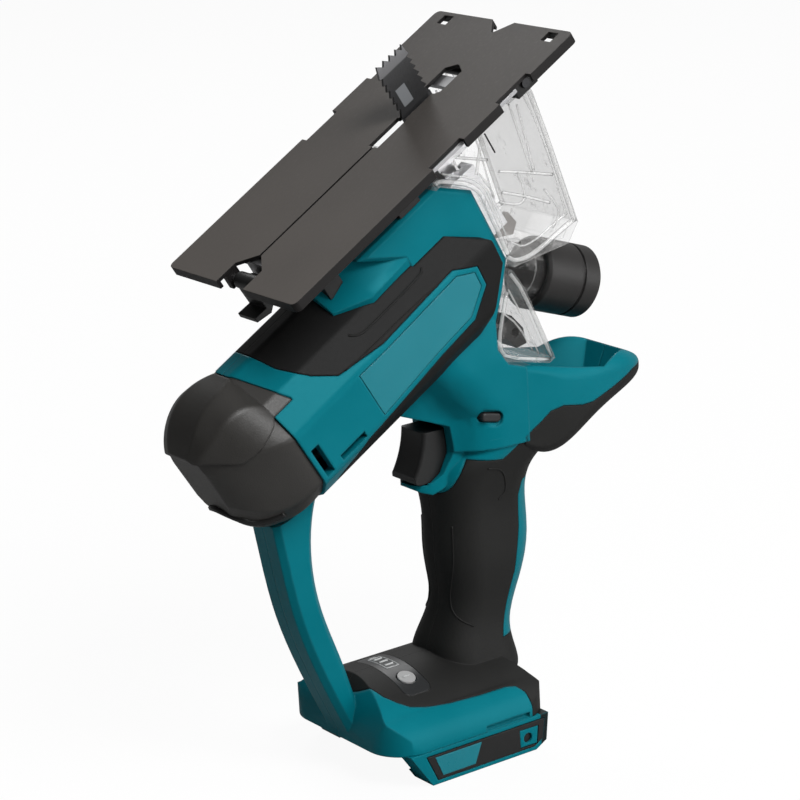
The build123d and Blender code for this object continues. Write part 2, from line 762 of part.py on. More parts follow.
def rail_form():
    """The walls and lips that a battery slides between, joined at the back."""
    with BuildPart() as form:
        add(slab(Plane.XZ, FOOT_OUTLINE, FOOT_WIDTH / 2))
        with BuildSketch(Plane.YZ.offset(FOOT_FRONT)):
            with Locations((0, (RAIL_TOP + RAIL_LIP_HEIGHT) / 2)):
                Rectangle(RAIL_GAP, RAIL_TOP - RAIL_LIP_HEIGHT)
            with Locations((0, RAIL_LIP_HEIGHT / 2)):
                Rectangle(RAIL_GAP - 2 * RAIL_LIP, RAIL_LIP_HEIGHT)
        extrude(amount=CHANNEL_END - FOOT_FRONT, mode=Mode.SUBTRACT)
        add(side_marks(), mode=Mode.SUBTRACT)
    return form.part


def guard_form():
    with BuildPart() as form:
        with BuildSketch(Plane.XZ):
            with BuildLine():
                front = Spline((-70, 122), (-66.8, 104.6), (-60.2, 70.7), (-48.7, 39.2), (-38.5, 17))
                inner = Spline((-29, 17), (-33.6, 28.5), (-39, 46.3), (-48.2, 74), (-50.8, 99.8), (-46, 122))
                Line(front @ 1, inner @ 0)
                Line(inner @ 1, front @ 0)
            make_face()
        extrude(amount=GUARD_WIDTH / 2, both=True)
        chamfer(form.faces().filter_by(Axis.Y).edges(), GUARD_BEVEL)
    return form.part


def band_form(seam):
    """Rubber on the barrel, both sides, drawn in from its outline by the seam."""
    with BuildPart() as form:
        add(barrel_form())
        add(barrel_form(SKIN - seam), mode=Mode.SUBTRACT)
        add(slab(deck_side(), BAND_OUTLINE, 2 * BARREL_HALF, seam), mode=Mode.INTERSECT)
        add(slab(deck_side(), PANEL_OUTLINE, 2 * BARREL_HALF, -seam), mode=Mode.SUBTRACT)
        add(head_form(), mode=Mode.SUBTRACT)
        add(bulge_form(), mode=Mode.SUBTRACT)
        add(body_form(), mode=Mode.SUBTRACT)
    return form.part


def grip_rubber_form(seam):
    """Rubber on the grip and under the tail, both sides, without the stripe down the back."""
    with BuildPart() as form:
        add(grip)
        add(tail)
        add(grip_core, mode=Mode.SUBTRACT)
        add(tail_core, mode=Mode.SUBTRACT)
        add(slab(Plane.XZ, GRIP_OUTLINE, BODY_HALF + 2, seam), mode=Mode.INTERSECT)
        add(slab(Plane.XZ, STRIPE_OUTLINE, BODY_HALF, -seam), mode=Mode.SUBTRACT)
        add(foot_top, mode=Mode.SUBTRACT)
        add(lip_form(), mode=Mode.SUBTRACT)
    return form.part


def trigger_room():
    """Space that the trigger sweeps, with its clearance."""
    half = TRIGGER_HALF + GAP
    return world_box(-6, TRIGGER_BACK + TRIGGER_TRAVEL + GAP, -half, half, 111.2, TRIGGER_TOP + 2 * GAP)


def half_of(part, keep):
    with BuildPart() as form:
        add(part)
        split(bisect_by=Plane.XZ, keep=keep)
    return form.part


def motor_bay():
    """Room for the motor, with two ribs that hold the can."""
    with BuildPart() as ribs:
        add(deck_box(-6, -2, -40, 40, -110, 0))
        add(deck_box(20, 24, -40, 40, -110, 0))
        add(rod(-6, 24, MOTOR_RADIUS, MOTOR_N), mode=Mode.SUBTRACT)
    with BuildPart() as form:
        add(barrel_form(BARREL_WALL))
        add(deck_box(-60, MOTOR_PLATE_U + MOTOR_PLATE, -40, 40, -110, 0), mode=Mode.INTERSECT)
        add(ribs.part, mode=Mode.SUBTRACT)
    return form.part


def gear_bay():
    """Room for the gears and the gear case, open at the back of the head."""
    half = GEAR_CASE_HALF
    low = CRANK_N - GEAR_CASE_RISE
    with BuildPart() as form:
        add(deck_box(MOTOR_PLATE_U + MOTOR_PLATE, GEAR_CASE_U, -13, 13, MOTOR_N - 7, CRANK_N + 13))
        add(deck_box(GEAR_CASE_U, HEAD_BACK + 3, -half, half, low, low + 2 * GEAR_CASE_RISE))
    return form.part


def handle_room():
    """Room for the switch, the trigger, the lock button and the wiring in the grip and the foot."""
    with BuildPart() as form:
        add(grip_form(GRIP_WALL))
        add(world_box(0, 80, -40, 40, 0, SWITCH_LOW), mode=Mode.INTERSECT)
        add(world_box(-26, 28, -26, 26, 17.5, FOOT_ROOM_TOP))
        add(world_box(SWITCH_X, SWITCH_END, -SWITCH_HALF, SWITCH_HALF, SWITCH_LOW - 1, SWITCH_TOP))
        add(trigger_room())
        with BuildSketch(Plane.YZ.offset(TRIGGER_BACK)):
            with Locations((0, PLUNGER_Z)):
                Circle(PLUNGER_RADIUS + GAP)
        extrude(amount=SWITCH_X - TRIGGER_BACK + 1)
        with BuildSketch(Plane.XZ):
            with Locations((LOCK_X, LOCK_Z)):
                RectangleRounded(LOCK_LENGTH + 2 * GAP, LOCK_HEIGHT + 2 * GAP, LOCK_HEIGHT / 2, LOCK_TILT)
        extrude(amount=40, both=True)
        add(button_room())
    return form.part


def screw_room():
    with BuildPart() as form:
        for x, z, half in SCREWS:
            head = half - SCREW_SUNK - SCREW_HEAD
            add(cross_pin(screw_axis(x, z), SCREW_RADIUS, 5 - half, half))
            add(cross_pin(screw_axis(x, z), SCREW_HEAD_RADIUS + FIT, head, 60))
    return form.part


def side_marks():
    """Vents, lock slots, label recesses, inlay recesses and grooves on both sides."""
    with BuildPart() as form:
        for side in (-1, 1):
            with BuildSketch(Plane.XZ.offset(-side * (BODY_HALF - LOCK_SLOT_DEPTH))):
                with Locations((LOCK_SLOT_X, LOCK_Z)):
                    RectangleRounded(LOCK_SLOT_LENGTH, LOCK_SLOT_HEIGHT, LOCK_SLOT_HEIGHT / 2 - 0.1, LOCK_TILT)
            extrude(amount=-side * 10)
            add(deck_box(-21, -17, side * 24 - 8, side * 24 + 8, -72.6, -59))
            add(deck_box(-12, 1.4, side * 24 - 8, side * 24 + 8, -72.4, -69.8))
            with Locations((0, side * (BARREL_HALF - LABEL_DEPTH + 10), 0)):
                add(slab(deck_side(), LABEL_OUTLINE, 10, LABEL_BORDER))
            with Locations((0, side * (FOOT_WIDTH / 2 - INLAY_DEPTH + 10), 0)):
                add(slab(Plane.XZ, INLAY_OUTLINE, 10))
                add(slab(Plane.XZ, PATCH_OUTLINE, 11), mode=Mode.SUBTRACT)
            add(world_box(6.6, 28.5, side * 38.5 - 1.6, side * 38.5 + 1.6, 15.0, 17.0))
            with Locations((0, side * (FOOT_WIDTH / 2 - 3 + 10), 0)):
                add(cross_pin(screw_axis(FOOT_SCREW_X, FOOT_SCREW_Z), SCREW_HEAD_RADIUS - 0.6, -10, 10))
    return form.part


barrel = barrel_form()
grip = grip_form()
tail = tail_form()
grip_core = grip_form(SKIN)
tail_core = tail_form(SKIN)
foot_top = foot_top_form()
foot_core = foot_top_form(PAD)
band = band_form(0)
grip_rubber = grip_rubber_form(0)
pad = pad_form(0)

with BuildPart() as shell:
    add(barrel)
    add(head_form())
    add(bulge_form())
    add(body_form())
    add(tail)
    add(scoop_form(), mode=Mode.SUBTRACT)
    add(lip_form())
    add(grip)
    add(foot_top)
    add(guard_form())
    add(pad, mode=Mode.SUBTRACT)
    add(grip_core)
    add(cap_form(), mode=Mode.SUBTRACT)
    add(tongue_form(), mode=Mode.SUBTRACT)
    add(band, mode=Mode.SUBTRACT)
    add(grip_rubber, mode=Mode.SUBTRACT)
    add(motor_bay(), mode=Mode.SUBTRACT)
    add(gear_bay(), mode=Mode.SUBTRACT)
    add(handle_room(), mode=Mode.SUBTRACT)
    add(side_marks(), mode=Mode.SUBTRACT)
    add(cross_pin(screw_axis(SCREWS[3][0], SCREWS[3][1]), PILLAR_RADIUS, 2 - SCREWS[3][2], SCREWS[3][2] - 2))
    add(screw_room(), mode=Mode.SUBTRACT)

with BuildPart() as left_housing:
    add(half_of(shell.part, Keep.TOP))
left_housing.part.label = "left_housing"
export_step(left_housing.part, "parts/left_housing.step")

with BuildPart() as right_housing:
    add(half_of(shell.part, Keep.BOTTOM))
right_housing.part.label = "right_housing"
export_step(right_housing.part, "parts/right_housing.step")

rails = rail_form()
with BuildPart() as left_rail:
    add(half_of(rails, Keep.TOP))
left_rail.part.label = "left_rail"
export_step(left_rail.part, "parts/left_rail.step")

with BuildPart() as right_rail:
    add(half_of(rails, Keep.BOTTOM))
right_rail.part.label = "right_rail"
export_step(right_rail.part, "parts/right_rail.step")

with BuildPart() as barrel_rubber:
    add(band_form(SEAM))

with BuildPart() as left_barrel_overmould:
    add(half_of(barrel_rubber.part, Keep.TOP))
left_barrel_overmould.part.label = "left_barrel_overmould"
export_step(left_barrel_overmould.part, "parts/left_barrel_overmould.step")

with BuildPart() as right_barrel_overmould:
    add(half_of(barrel_rubber.part, Keep.BOTTOM))
right_barrel_overmould.part.label = "right_barrel_overmould"
export_step(right_barrel_overmould.part, "parts/right_barrel_overmould.step")

with BuildPart() as handle_rubber:
    add(pad_form(SEAM))
    add(grip_core, mode=Mode.SUBTRACT)
    add(guard_form(), mode=Mode.SUBTRACT)
    add(grip_rubber_form(SEAM))
    add(scoop_form(), mode=Mode.SUBTRACT)
    add(trigger_room(), mode=Mode.SUBTRACT)
    add(screw_room(), mode=Mode.SUBTRACT)
    add(gauge_form(0), mode=Mode.SUBTRACT)
    add(button_room(), mode=Mode.SUBTRACT)

with BuildPart() as left_grip_overmould:
    add(half_of(handle_rubber.part, Keep.TOP))
left_grip_overmould.part.label = "left_grip_overmould"
export_step(left_grip_overmould.part, "parts/left_grip_overmould.step")

with BuildPart() as right_grip_overmould:
    add(half_of(handle_rubber.part, Keep.BOTTOM))
right_grip_overmould.part.label = "right_grip_overmould"
export_step(right_grip_overmould.part, "parts/right_grip_overmould.step")

with BuildPart() as cap_tongue:
    add(tongue_form(SEAM))
    add(barrel_form(CAP_SHELL), mode=Mode.SUBTRACT)

with BuildPart() as cap_visor:
    add(cap_form())
    add(slab(deck_axis(0, MOTOR_N), VISOR_OUTLINE, 2 * BARREL_HALF), mode=Mode.INTERSECT)

bearing_back = SHAFT_BACK
with BuildPart() as motor_end_cap:
    add(cap_form(CAP_JAW))
    add(cap_visor.part)
    add(cap_form(CAP_SHELL), mode=Mode.SUBTRACT)
    add(cap_tongue.part)
    add(rod(CAP_END_U + CAP_JAW + 1, bearing_back + MOTOR_BEARING_WIDTH, MOTOR_BEARING_RADIUS + 3, MOTOR_N))
    add(rod(bearing_back, 0, MOTOR_BEARING_RADIUS, MOTOR_N), mode=Mode.SUBTRACT)
    add(rod(bearing_back - 2, bearing_back, SHAFT_RADIUS + 2, MOTOR_N), mode=Mode.SUBTRACT)
motor_end_cap.part.label = "motor_end_cap"
export_step(motor_end_cap.part, "parts/motor_end_cap.step")

with BuildPart() as label_plate:
    with Locations((0, -(BARREL_HALF - LABEL_DEPTH / 2), 0)):
        add(slab(deck_side(), LABEL_OUTLINE, LABEL_DEPTH / 2, LABEL_BORDER + SEAM))

with BuildPart() as left_label_plate:
    add(label_plate.part)
left_label_plate.part.label = "left_label_plate"
export_step(left_label_plate.part, "parts/left_label_plate.step")

with BuildPart() as right_label_plate:
    add(mirror(label_plate.part, about=Plane.XZ))
right_label_plate.part.label = "right_label_plate"
export_step(right_label_plate.part, "parts/right_label_plate.step")

inlay_middle = FOOT_WIDTH / 2 - INLAY_DEPTH / 2 + INLAY_PROUD / 2
with BuildPart() as badge:
    with Locations((0, LABEL_DEPTH / 2 - FOOT_WIDTH / 2 - INLAY_PROUD - FIT, 0)):
        add(slab(Plane.XZ, BADGE_OUTLINE, LABEL_DEPTH / 2))

with BuildPart() as inlay:
    with Locations((0, -inlay_middle, 0)):
        add(slab(Plane.XZ, INLAY_OUTLINE, (INLAY_DEPTH + INLAY_PROUD) / 2, SEAM))
    add(slab(Plane.XZ, PATCH_OUTLINE, FOOT_WIDTH, -SEAM), mode=Mode.SUBTRACT)
    add(badge.part, mode=Mode.SUBTRACT)

with BuildPart() as left_foot_inlay:
    add(inlay.part)
left_foot_inlay.part.label = "left_foot_inlay"
export_step(left_foot_inlay.part, "parts/left_foot_inlay.step")

with BuildPart() as right_foot_inlay:
    add(mirror(inlay.part, about=Plane.XZ))
right_foot_inlay.part.label = "right_foot_inlay"
export_step(right_foot_inlay.part, "parts/right_foot_inlay.step")

with BuildPart() as left_badge:
    add(badge.part)
left_badge.part.label = "left_badge"
export_step(left_badge.part, "parts/left_badge.step")

with BuildPart() as right_badge:
    add(mirror(badge.part, about=Plane.XZ))
right_badge.part.label = "right_badge"
export_step(right_badge.part, "parts/right_badge.step")

with BuildPart() as gauge_panel:
    add(gauge_form(SEAM / 2))
    add(button_room(), mode=Mode.SUBTRACT)
gauge_panel.part.label = "gauge_panel"
export_step(gauge_panel.part, "parts/gauge_panel.step")

with BuildPart() as gauge_button:
    with BuildSketch(BUTTON.offset(-BUTTON_HEIGHT)):
        Circle(BUTTON_RADIUS)
    extrude(amount=BUTTON_HEIGHT + 0.5)
    fillet(gauge_button.faces().sort_by(Axis.Z)[-1].edges(), 0.4)
    with BuildSketch(BUTTON.offset(-6.4)):
        Circle(BUTTON_STEM)
    extrude(amount=5)
gauge_button.part.label = "gauge_button"
export_step(gauge_button.part, "parts/gauge_button.step")

with BuildPart() as gauge_board:
    with BuildSketch(Plane.XY.offset(FOOT_ROOM_TOP)):
        with Locations((GAUGE_X, GAUGE_Y)):
            Rectangle(GAUGE_LENGTH, GAUGE_WIDTH)
    extrude(amount=-1.6)
    add(button_room(), mode=Mode.SUBTRACT)
gauge_board.part.label = "gauge_board"
export_step(gauge_board.part, "parts/gauge_board.step")

with BuildPart() as terminal_block:
    add(world_box(10, CHANNEL_END, -16, 16, 7, RAIL_TOP))
    add(world_box(16, CHANNEL_END, -20, 20, 9, RAIL_TOP))
terminal_block.part.label = "terminal_block"
export_step(terminal_block.part, "parts/terminal_block.step")

with BuildPart() as terminal_blades:
    for y in (-11, -4, 4, 11):
        add(world_box(-2, 10, y - 0.4, y + 0.4, 8.4, 12.6))
terminal_blades.part.label = "terminal_blades"
export_step(terminal_blades.part, "parts/terminal_blades.step")

with BuildPart() as foot_screws:
    for side in (-1, 1):
        with Locations((0, side * (FOOT_WIDTH / 2 - 2), 0)):
            add(cross_pin(screw_axis(FOOT_SCREW_X, FOOT_SCREW_Z), SCREW_HEAD_RADIUS - 0.6, -1, 1))
foot_screws.part.label = "foot_screws"
export_step(foot_screws.part, "parts/foot_screws.step")

with BuildPart() as housing_screws:
    for x, z, half in SCREWS:
        head = half - SCREW_SUNK - SCREW_HEAD
        add(cross_pin(screw_axis(x, z), SCREW_RADIUS, 5 - half, head))
        add(cross_pin(screw_axis(x, z), SCREW_HEAD_RADIUS, head, head + SCREW_HEAD))
        with BuildSketch(screw_axis(x, z).offset(-head - SCREW_HEAD)):
            RegularPolygon(SCREW_RADIUS, 6)
        extrude(amount=1.2, mode=Mode.SUBTRACT)
housing_screws.part.label = "housing_screws"
export_step(housing_screws.part, "parts/housing_screws.step")

with BuildPart() as switch_body:
    add(world_box(SWITCH_X, SWITCH_END, -SWITCH_HALF, SWITCH_HALF, SWITCH_LOW, SWITCH_TOP))
    with BuildSketch(Plane.YZ.offset(SWITCH_X)):
        with Locations((0, PLUNGER_Z)):
            Circle(PLUNGER_RADIUS + GAP)
    extrude(amount=TRIGGER_TRAVEL + 4, mode=Mode.SUBTRACT)
switch_body.part.label = "switch_body"
export_step(switch_body.part, "parts/switch_body.step")

with BuildPart() as trigger:
    with BuildSketch(Plane.XZ):
        with BuildLine():
            front = ThreePointArc((5, TRIGGER_TOP), (3.5, 124), (-0.3, 115.4))
            Polyline(front @ 1, (0.2, 112.6), (2, 111.8), (12, 112.2), (TRIGGER_BACK, 119))
            Polyline((TRIGGER_BACK, 119), (TRIGGER_BACK, TRIGGER_TOP), front @ 0)
        make_face()
    extrude(amount=TRIGGER_HALF, both=True)
    fillet(trigger.edges().filter_by(GeomType.CIRCLE), 1.6)
    with BuildSketch(Plane.YZ.offset(TRIGGER_BACK)):
        with Locations((0, PLUNGER_Z)):
            Circle(PLUNGER_RADIUS)
    extrude(amount=SWITCH_X - TRIGGER_BACK + 3)
trigger.part.label = "trigger"
export_step(trigger.part, "parts/trigger.step")

with BuildPart() as lock_button:
    with BuildSketch(Plane.XZ.offset(BODY_HALF - 0.8)):
        with Locations((LOCK_X, LOCK_Z)):
            RectangleRounded(LOCK_LENGTH, LOCK_HEIGHT, LOCK_HEIGHT / 2 - 0.1, LOCK_TILT)
    extrude(amount=-2 * (BODY_HALF - 0.8) - LOCK_TRAVEL)
    fillet(lock_button.faces().filter_by(Axis.Y).edges(), 0.8)
lock_button.part.label = "lock_button"
export_step(lock_button.part, "parts/lock_button.step")

with BuildPart() as motor_can:
    front = MOTOR_BACK + MOTOR_LENGTH
    add(rod(MOTOR_BACK, front, MOTOR_RADIUS, MOTOR_N, MOTOR_RADIUS - MOTOR_WALL))
    add(rod(MOTOR_BACK, MOTOR_BACK + 2.5, MOTOR_RADIUS - 1, MOTOR_N, BRUSH_RADIUS + 3))
    add(rod(front - 2.5, front, MOTOR_RADIUS - 1, MOTOR_N, BRUSH_RADIUS))
motor_can.part.label = "motor_can"
export_step(motor_can.part, "parts/motor_can.step")

with BuildPart() as carbon_brushes:
    for side in (-1, 1):
        middle = side * (MOTOR_RADIUS + BRUSH_RADIUS) / 2
        reach = (MOTOR_RADIUS - BRUSH_RADIUS) / 2 - GAP
        add(deck_box(-23, -17, middle - reach, middle + reach, MOTOR_N - 3, MOTOR_N + 3))
    add(rod(-30, 0, MOTOR_RADIUS - MOTOR_WALL, MOTOR_N), mode=Mode.INTERSECT)
carbon_brushes.part.label = "carbon_brushes"
export_step(carbon_brushes.part, "parts/carbon_brushes.step")

with BuildPart() as armature:
    add(rod(CORE_BACK, CORE_BACK + CORE_LENGTH, CORE_RADIUS, MOTOR_N))
    with BuildSketch(deck_across(CORE_BACK, MOTOR_N)):
        with PolarLocations(CORE_RADIUS - 3, 12):
            Rectangle(8, 2)
    extrude(amount=CORE_LENGTH, mode=Mode.SUBTRACT)
    add(rod(-26, CORE_BACK, BRUSH_RADIUS, MOTOR_N))
    add(rod(SHAFT_BACK, GEAR_U + GEAR_WIDTH + 1, SHAFT_RADIUS, MOTOR_N))
armature.part.label = "armature"
export_step(armature.part, "parts/armature.step")

with BuildPart() as fan:
    add(rod(FAN_U, FAN_U + 1.5, FAN_RADIUS, MOTOR_N))
    with BuildSketch(deck_across(FAN_U, MOTOR_N)):
        Circle(6)
        with PolarLocations(FAN_RADIUS - 6.5, 9):
            Rectangle(13, 1.4)
    extrude(amount=FAN_WIDTH)
    add(rod(FAN_U, FAN_U + FAN_WIDTH, SHAFT_RADIUS, MOTOR_N), mode=Mode.SUBTRACT)
fan.part.label = "fan"
export_step(fan.part, "parts/fan.step")

with BuildPart() as motor_bearings:
    for u in (bearing_back, MOTOR_PLATE_U + 0.5):
        add(rod(u, u + MOTOR_BEARING_WIDTH, MOTOR_BEARING_RADIUS, MOTOR_N, SHAFT_RADIUS + RUN))
motor_bearings.part.label = "motor_bearings"
export_step(motor_bearings.part, "parts/motor_bearings.step")

with BuildPart() as motor_plate:
    add(rod(MOTOR_PLATE_U, MOTOR_PLATE_U + MOTOR_PLATE, MOTOR_RADIUS + 1, MOTOR_N, MOTOR_BEARING_RADIUS))
motor_plate.part.label = "motor_plate"
export_step(motor_plate.part, "parts/motor_plate.step")

with BuildPart() as pinion:
    add(gear(PINION_TEETH, GEAR_U, GEAR_U + GEAR_WIDTH, MOTOR_N, SHAFT_RADIUS))
pinion.part.label = "pinion"
export_step(pinion.part, "parts/pinion.step")

with BuildPart() as crank_gear:
    add(gear(CRANK_TEETH, GEAR_U, GEAR_U + GEAR_WIDTH, CRANK_N, CRANK_SHAFT_RADIUS))
crank_gear.part.label = "crank_gear"
export_step(crank_gear.part, "parts/crank_gear.step")

disc_u = GEAR_CASE_END + GAP
with BuildPart() as crank_shaft:
    add(rod(GEAR_U - 1, disc_u, CRANK_SHAFT_RADIUS, CRANK_N))
    add(rod(disc_u, disc_u + CRANK_DISC, CRANK_DISC_RADIUS, CRANK_N))
    with BuildSketch(deck_across(disc_u, CRANK_N)):
        with Locations((CRANK_THROW, 0)):
            Circle(CRANK_PIN_RADIUS)
    extrude(amount=YOKE_U + YOKE_THICKNESS - disc_u - 0.5)
crank_shaft.part.label = "crank_shaft"
export_step(crank_shaft.part, "parts/crank_shaft.step")

with BuildPart() as gear_case:
    low = CRANK_N - GEAR_CASE_RISE
    add(deck_box(GEAR_CASE_U, GEAR_CASE_END, -GEAR_CASE_HALF, GEAR_CASE_HALF, low, low + 2 * GEAR_CASE_RISE))
    add(rod(GEAR_CASE_U, GEAR_CASE_END, CRANK_BEARING_RADIUS - 2.5, CRANK_N), mode=Mode.SUBTRACT)
    add(rod(GEAR_CASE_U, GEAR_CASE_U + 8, CRANK_BEARING_RADIUS, CRANK_N), mode=Mode.SUBTRACT)
    add(rod(GEAR_CASE_END - 8, GEAR_CASE_END, CRANK_BEARING_RADIUS, CRANK_N), mode=Mode.SUBTRACT)
gear_case.part.label = "gear_case"
export_step(gear_case.part, "parts/gear_case.step")

with BuildPart() as crank_bearings:
    for u in (GEAR_CASE_U + 8 - CRANK_BEARING_WIDTH, GEAR_CASE_END - 8):
        add(rod(u, u + CRANK_BEARING_WIDTH, CRANK_BEARING_RADIUS, CRANK_N, CRANK_SHAFT_RADIUS + RUN))
crank_bearings.part.label = "crank_bearings"
export_step(crank_bearings.part, "parts/crank_bearings.step")

yoke_end = YOKE_U + YOKE_THICKNESS
with BuildPart() as guide_frame:
    low = CRANK_N - RAIL_BAR_RISE
    high = CRANK_N + RAIL_BAR_RISE
    add(deck_box(GEAR_CASE_END, yoke_end + 3, YOKE_HALF - 2.5, 15, low, high))
    add(deck_box(GEAR_CASE_END, YOKE_U - GAP, 0, CRANK_DISC_RADIUS + 0.6, low, high), mode=Mode.SUBTRACT)
    add(deck_box(YOKE_U - GAP, yoke_end + GAP, 0, YOKE_HALF + FIT, low, high), mode=Mode.SUBTRACT)
    mirror(about=Plane.XZ)
    add(deck_box(GEAR_CASE_END, YOKE_U - 2, -15, 15, low, low + 4.5))
    add(deck_box(GEAR_CASE_END, YOKE_U - 2, -15, 15, high - 4.5, high))
guide_frame.part.label = "guide_frame"
export_step(guide_frame.part, "parts/guide_frame.step")

jaw_back = BLADE_U + BLADE_WIDTH / 2 + 1
blade_half = BLADE_THICKNESS / 2
window_y = CRANK_THROW + CRANK_PIN_RADIUS + GAP
window_n = 2 * CRANK_THROW + CRANK_PIN_RADIUS + GAP
with BuildPart() as slider:
    add(deck_box(YOKE_U, yoke_end, -YOKE_HALF, YOKE_HALF, CRANK_N - YOKE_RISE, CRANK_N + YOKE_RISE))
    add(
        deck_box(YOKE_U, yoke_end, -window_y, window_y, CRANK_N - window_n, CRANK_N + window_n),
        mode=Mode.SUBTRACT,
    )
    add(deck_box(YOKE_U, yoke_end, -JAW_HALF, JAW_HALF, CRANK_N + YOKE_RISE, JAW_FLOOR))
    add(deck_box(YOKE_U - 1, jaw_back, -JAW_HALF, JAW_HALF, JAW_FLOOR - 2, JAW_TOP))
    add(deck_box(YOKE_U - 1, jaw_back, -JAW_HALF, blade_half, JAW_FLOOR, JAW_TOP), mode=Mode.SUBTRACT)
    add(deck_box(YOKE_U, LEVER_U + 4, -4, 4, LEVER_N - 3.5, CRANK_N - YOKE_RISE))
    add(cross_pin(deck_axis(LEVER_U, LEVER_N), LEVER_PIN_RADIUS + RUN, -5, 5), mode=Mode.SUBTRACT)
    add(cross_pin(deck_axis(BLADE_U, CLAMP_N), CLAMP_BOLT_RADIUS, -10, 10), mode=Mode.SUBTRACT)
slider.part.label = "slider"
export_step(slider.part, "parts/slider.step")

with BuildPart() as clamp_plate:
    add(deck_box(YOKE_U - 0.5, jaw_back - 0.5, 1 - JAW_HALF, -blade_half, JAW_FLOOR, JAW_TOP))
    add(cross_pin(deck_axis(BLADE_U, CLAMP_N), CLAMP_BOLT_RADIUS, -10, 10), mode=Mode.SUBTRACT)
clamp_plate.part.label = "clamp_plate"
export_step(clamp_plate.part, "parts/clamp_plate.step")

with BuildPart() as clamp_bolt:
    add(cross_pin(deck_axis(BLADE_U, CLAMP_N), CLAMP_BOLT_RADIUS, 1 - JAW_HALF, JAW_HALF))
    add(cross_pin(deck_axis(BLADE_U, CLAMP_N), CLAMP_BOLT_RADIUS + 1.9, -2.2 - JAW_HALF, 1 - JAW_HALF))
    with BuildSketch(deck_axis(BLADE_U, CLAMP_N).offset(JAW_HALF + 2.2)):
        RegularPolygon(CLAMP_BOLT_RADIUS - 0.3, 6)
    extrude(amount=-2, mode=Mode.SUBTRACT)
clamp_bolt.part.label = "clamp_bolt"
export_step(clamp_bolt.part, "parts/clamp_bolt.step")

with BuildPart() as blade:
    add(slab(deck_side(), blade_points(), blade_half))
    add(cross_pin(deck_axis(BLADE_U, CLAMP_N), CLAMP_BOLT_RADIUS, -10, 10), mode=Mode.SUBTRACT)
blade.part.label = "blade"
export_step(blade.part, "parts/blade.step")

with BuildPart() as clamp_lever:
    with BuildSketch(deck_side(-5.8)):
        with Locations((LEVER_U, LEVER_N)):
            Circle(LEVER_HUB)
        with BuildLine():
            Polyline(
                (LEVER_U - 2.5, LEVER_N + 3.6), (LEVER_U + 8, LEVER_N + 1), (LEVER_U + 9, LEVER_N - 5),
                (LEVER_U + 5, LEVER_N - 8), (LEVER_U - 3, LEVER_N - 3.2), close=True,
            )
        make_face()
    extrude(amount=1.4, both=True)
    add(cross_pin(deck_axis(LEVER_U, LEVER_N), LEVER_PIN_RADIUS, -5, 4))
clamp_lever.part.label = "clamp_lever"
export_step(clamp_lever.part, "parts/clamp_lever.step")

with BuildPart() as dust_case:
    add(slab(deck_side(), CASE_OUTLINE, CASE_HALF))
    with BuildSketch(PORT.offset(-26)):
        Circle(PORT_RADIUS)
    extrude(amount=26 + PORT_END)
    add(slab(Plane.XZ, COVER_OUTLINE, CASE_HALF, -GAP), mode=Mode.SUBTRACT)
    add(slab(deck_side(), CASE_ROOM, CASE_HALF - CASE_WALL), mode=Mode.SUBTRACT)
    with BuildSketch(PORT.offset(-34)):
        Circle(PORT_BORE + 0.8)
    extrude(amount=34 + PORT_SEAT, mode=Mode.SUBTRACT)
    with BuildSketch(PORT.offset(PORT_SEAT)):
        Circle(PORT_BORE)
    extrude(amount=PORT_END - PORT_SEAT + 1, mode=Mode.SUBTRACT)
    for side in (-1, 1):
        middle = side * (CASE_HALF - 4)
        with BuildSketch(deck_side(middle)):
            with Locations((HINGE_U, -HINGE_DROP)):
                Circle(HINGE_EYE)
            with Locations((HINGE_U, -HINGE_DROP - 4)):
                Rectangle(2 * HINGE_EYE, 8)
        extrude(amount=4, both=True)
        add(deck_box(100, 150, middle - 5, middle + 5, FRAME_LOW, 5), mode=Mode.SUBTRACT)
    add(cross_pin(deck_axis(HINGE_U, -HINGE_DROP), HINGE_PIN_RADIUS, -40, 40), mode=Mode.SUBTRACT)
dust_case.part.label = "dust_case"
export_step(dust_case.part, "parts/dust_case.step")

with BuildPart() as lower_cover:
    add(slab(Plane.XZ, COVER_OUTLINE, COVER_HALF))
    add(slab(Plane.XZ, COVER_ROOM, COVER_HALF - CASE_WALL), mode=Mode.SUBTRACT)
lower_cover.part.label = "lower_cover"
export_step(lower_cover.part, "parts/lower_cover.step")

with BuildPart() as key_clip:
    add(slab(Plane.XZ.offset(11), CLIP_OUTLINE, 5))
    with BuildSketch(Plane.XZ):
        with Locations((46.6, 167.4)):
            Circle(2)
    extrude(amount=20, mode=Mode.SUBTRACT)
key_clip.part.label = "key_clip"
export_step(key_clip.part, "parts/key_clip.step")

with BuildPart() as dust_cap:
    with BuildSketch(PORT.offset(-CUP_BACK)):
        Circle(CUP_RADIUS)
    extrude(amount=CUP_BACK + CUP_LENGTH)
    chamfer(dust_cap.edges(), 1.2)
    with BuildSketch(PORT.offset(-CUP_BACK)):
        Circle(PORT_RADIUS + GAP)
    extrude(amount=CUP_BACK + CUP_LENGTH - CUP_WALL, mode=Mode.SUBTRACT)
    with BuildSketch(PORT.offset(14)):
        Circle(CUP_RADIUS + 1)
        Circle(CUP_RADIUS - 0.8, mode=Mode.SUBTRACT)
    extrude(amount=1.4, mode=Mode.SUBTRACT)
dust_cap.part.label = "dust_cap"
export_step(dust_cap.part, "parts/dust_cap.step")

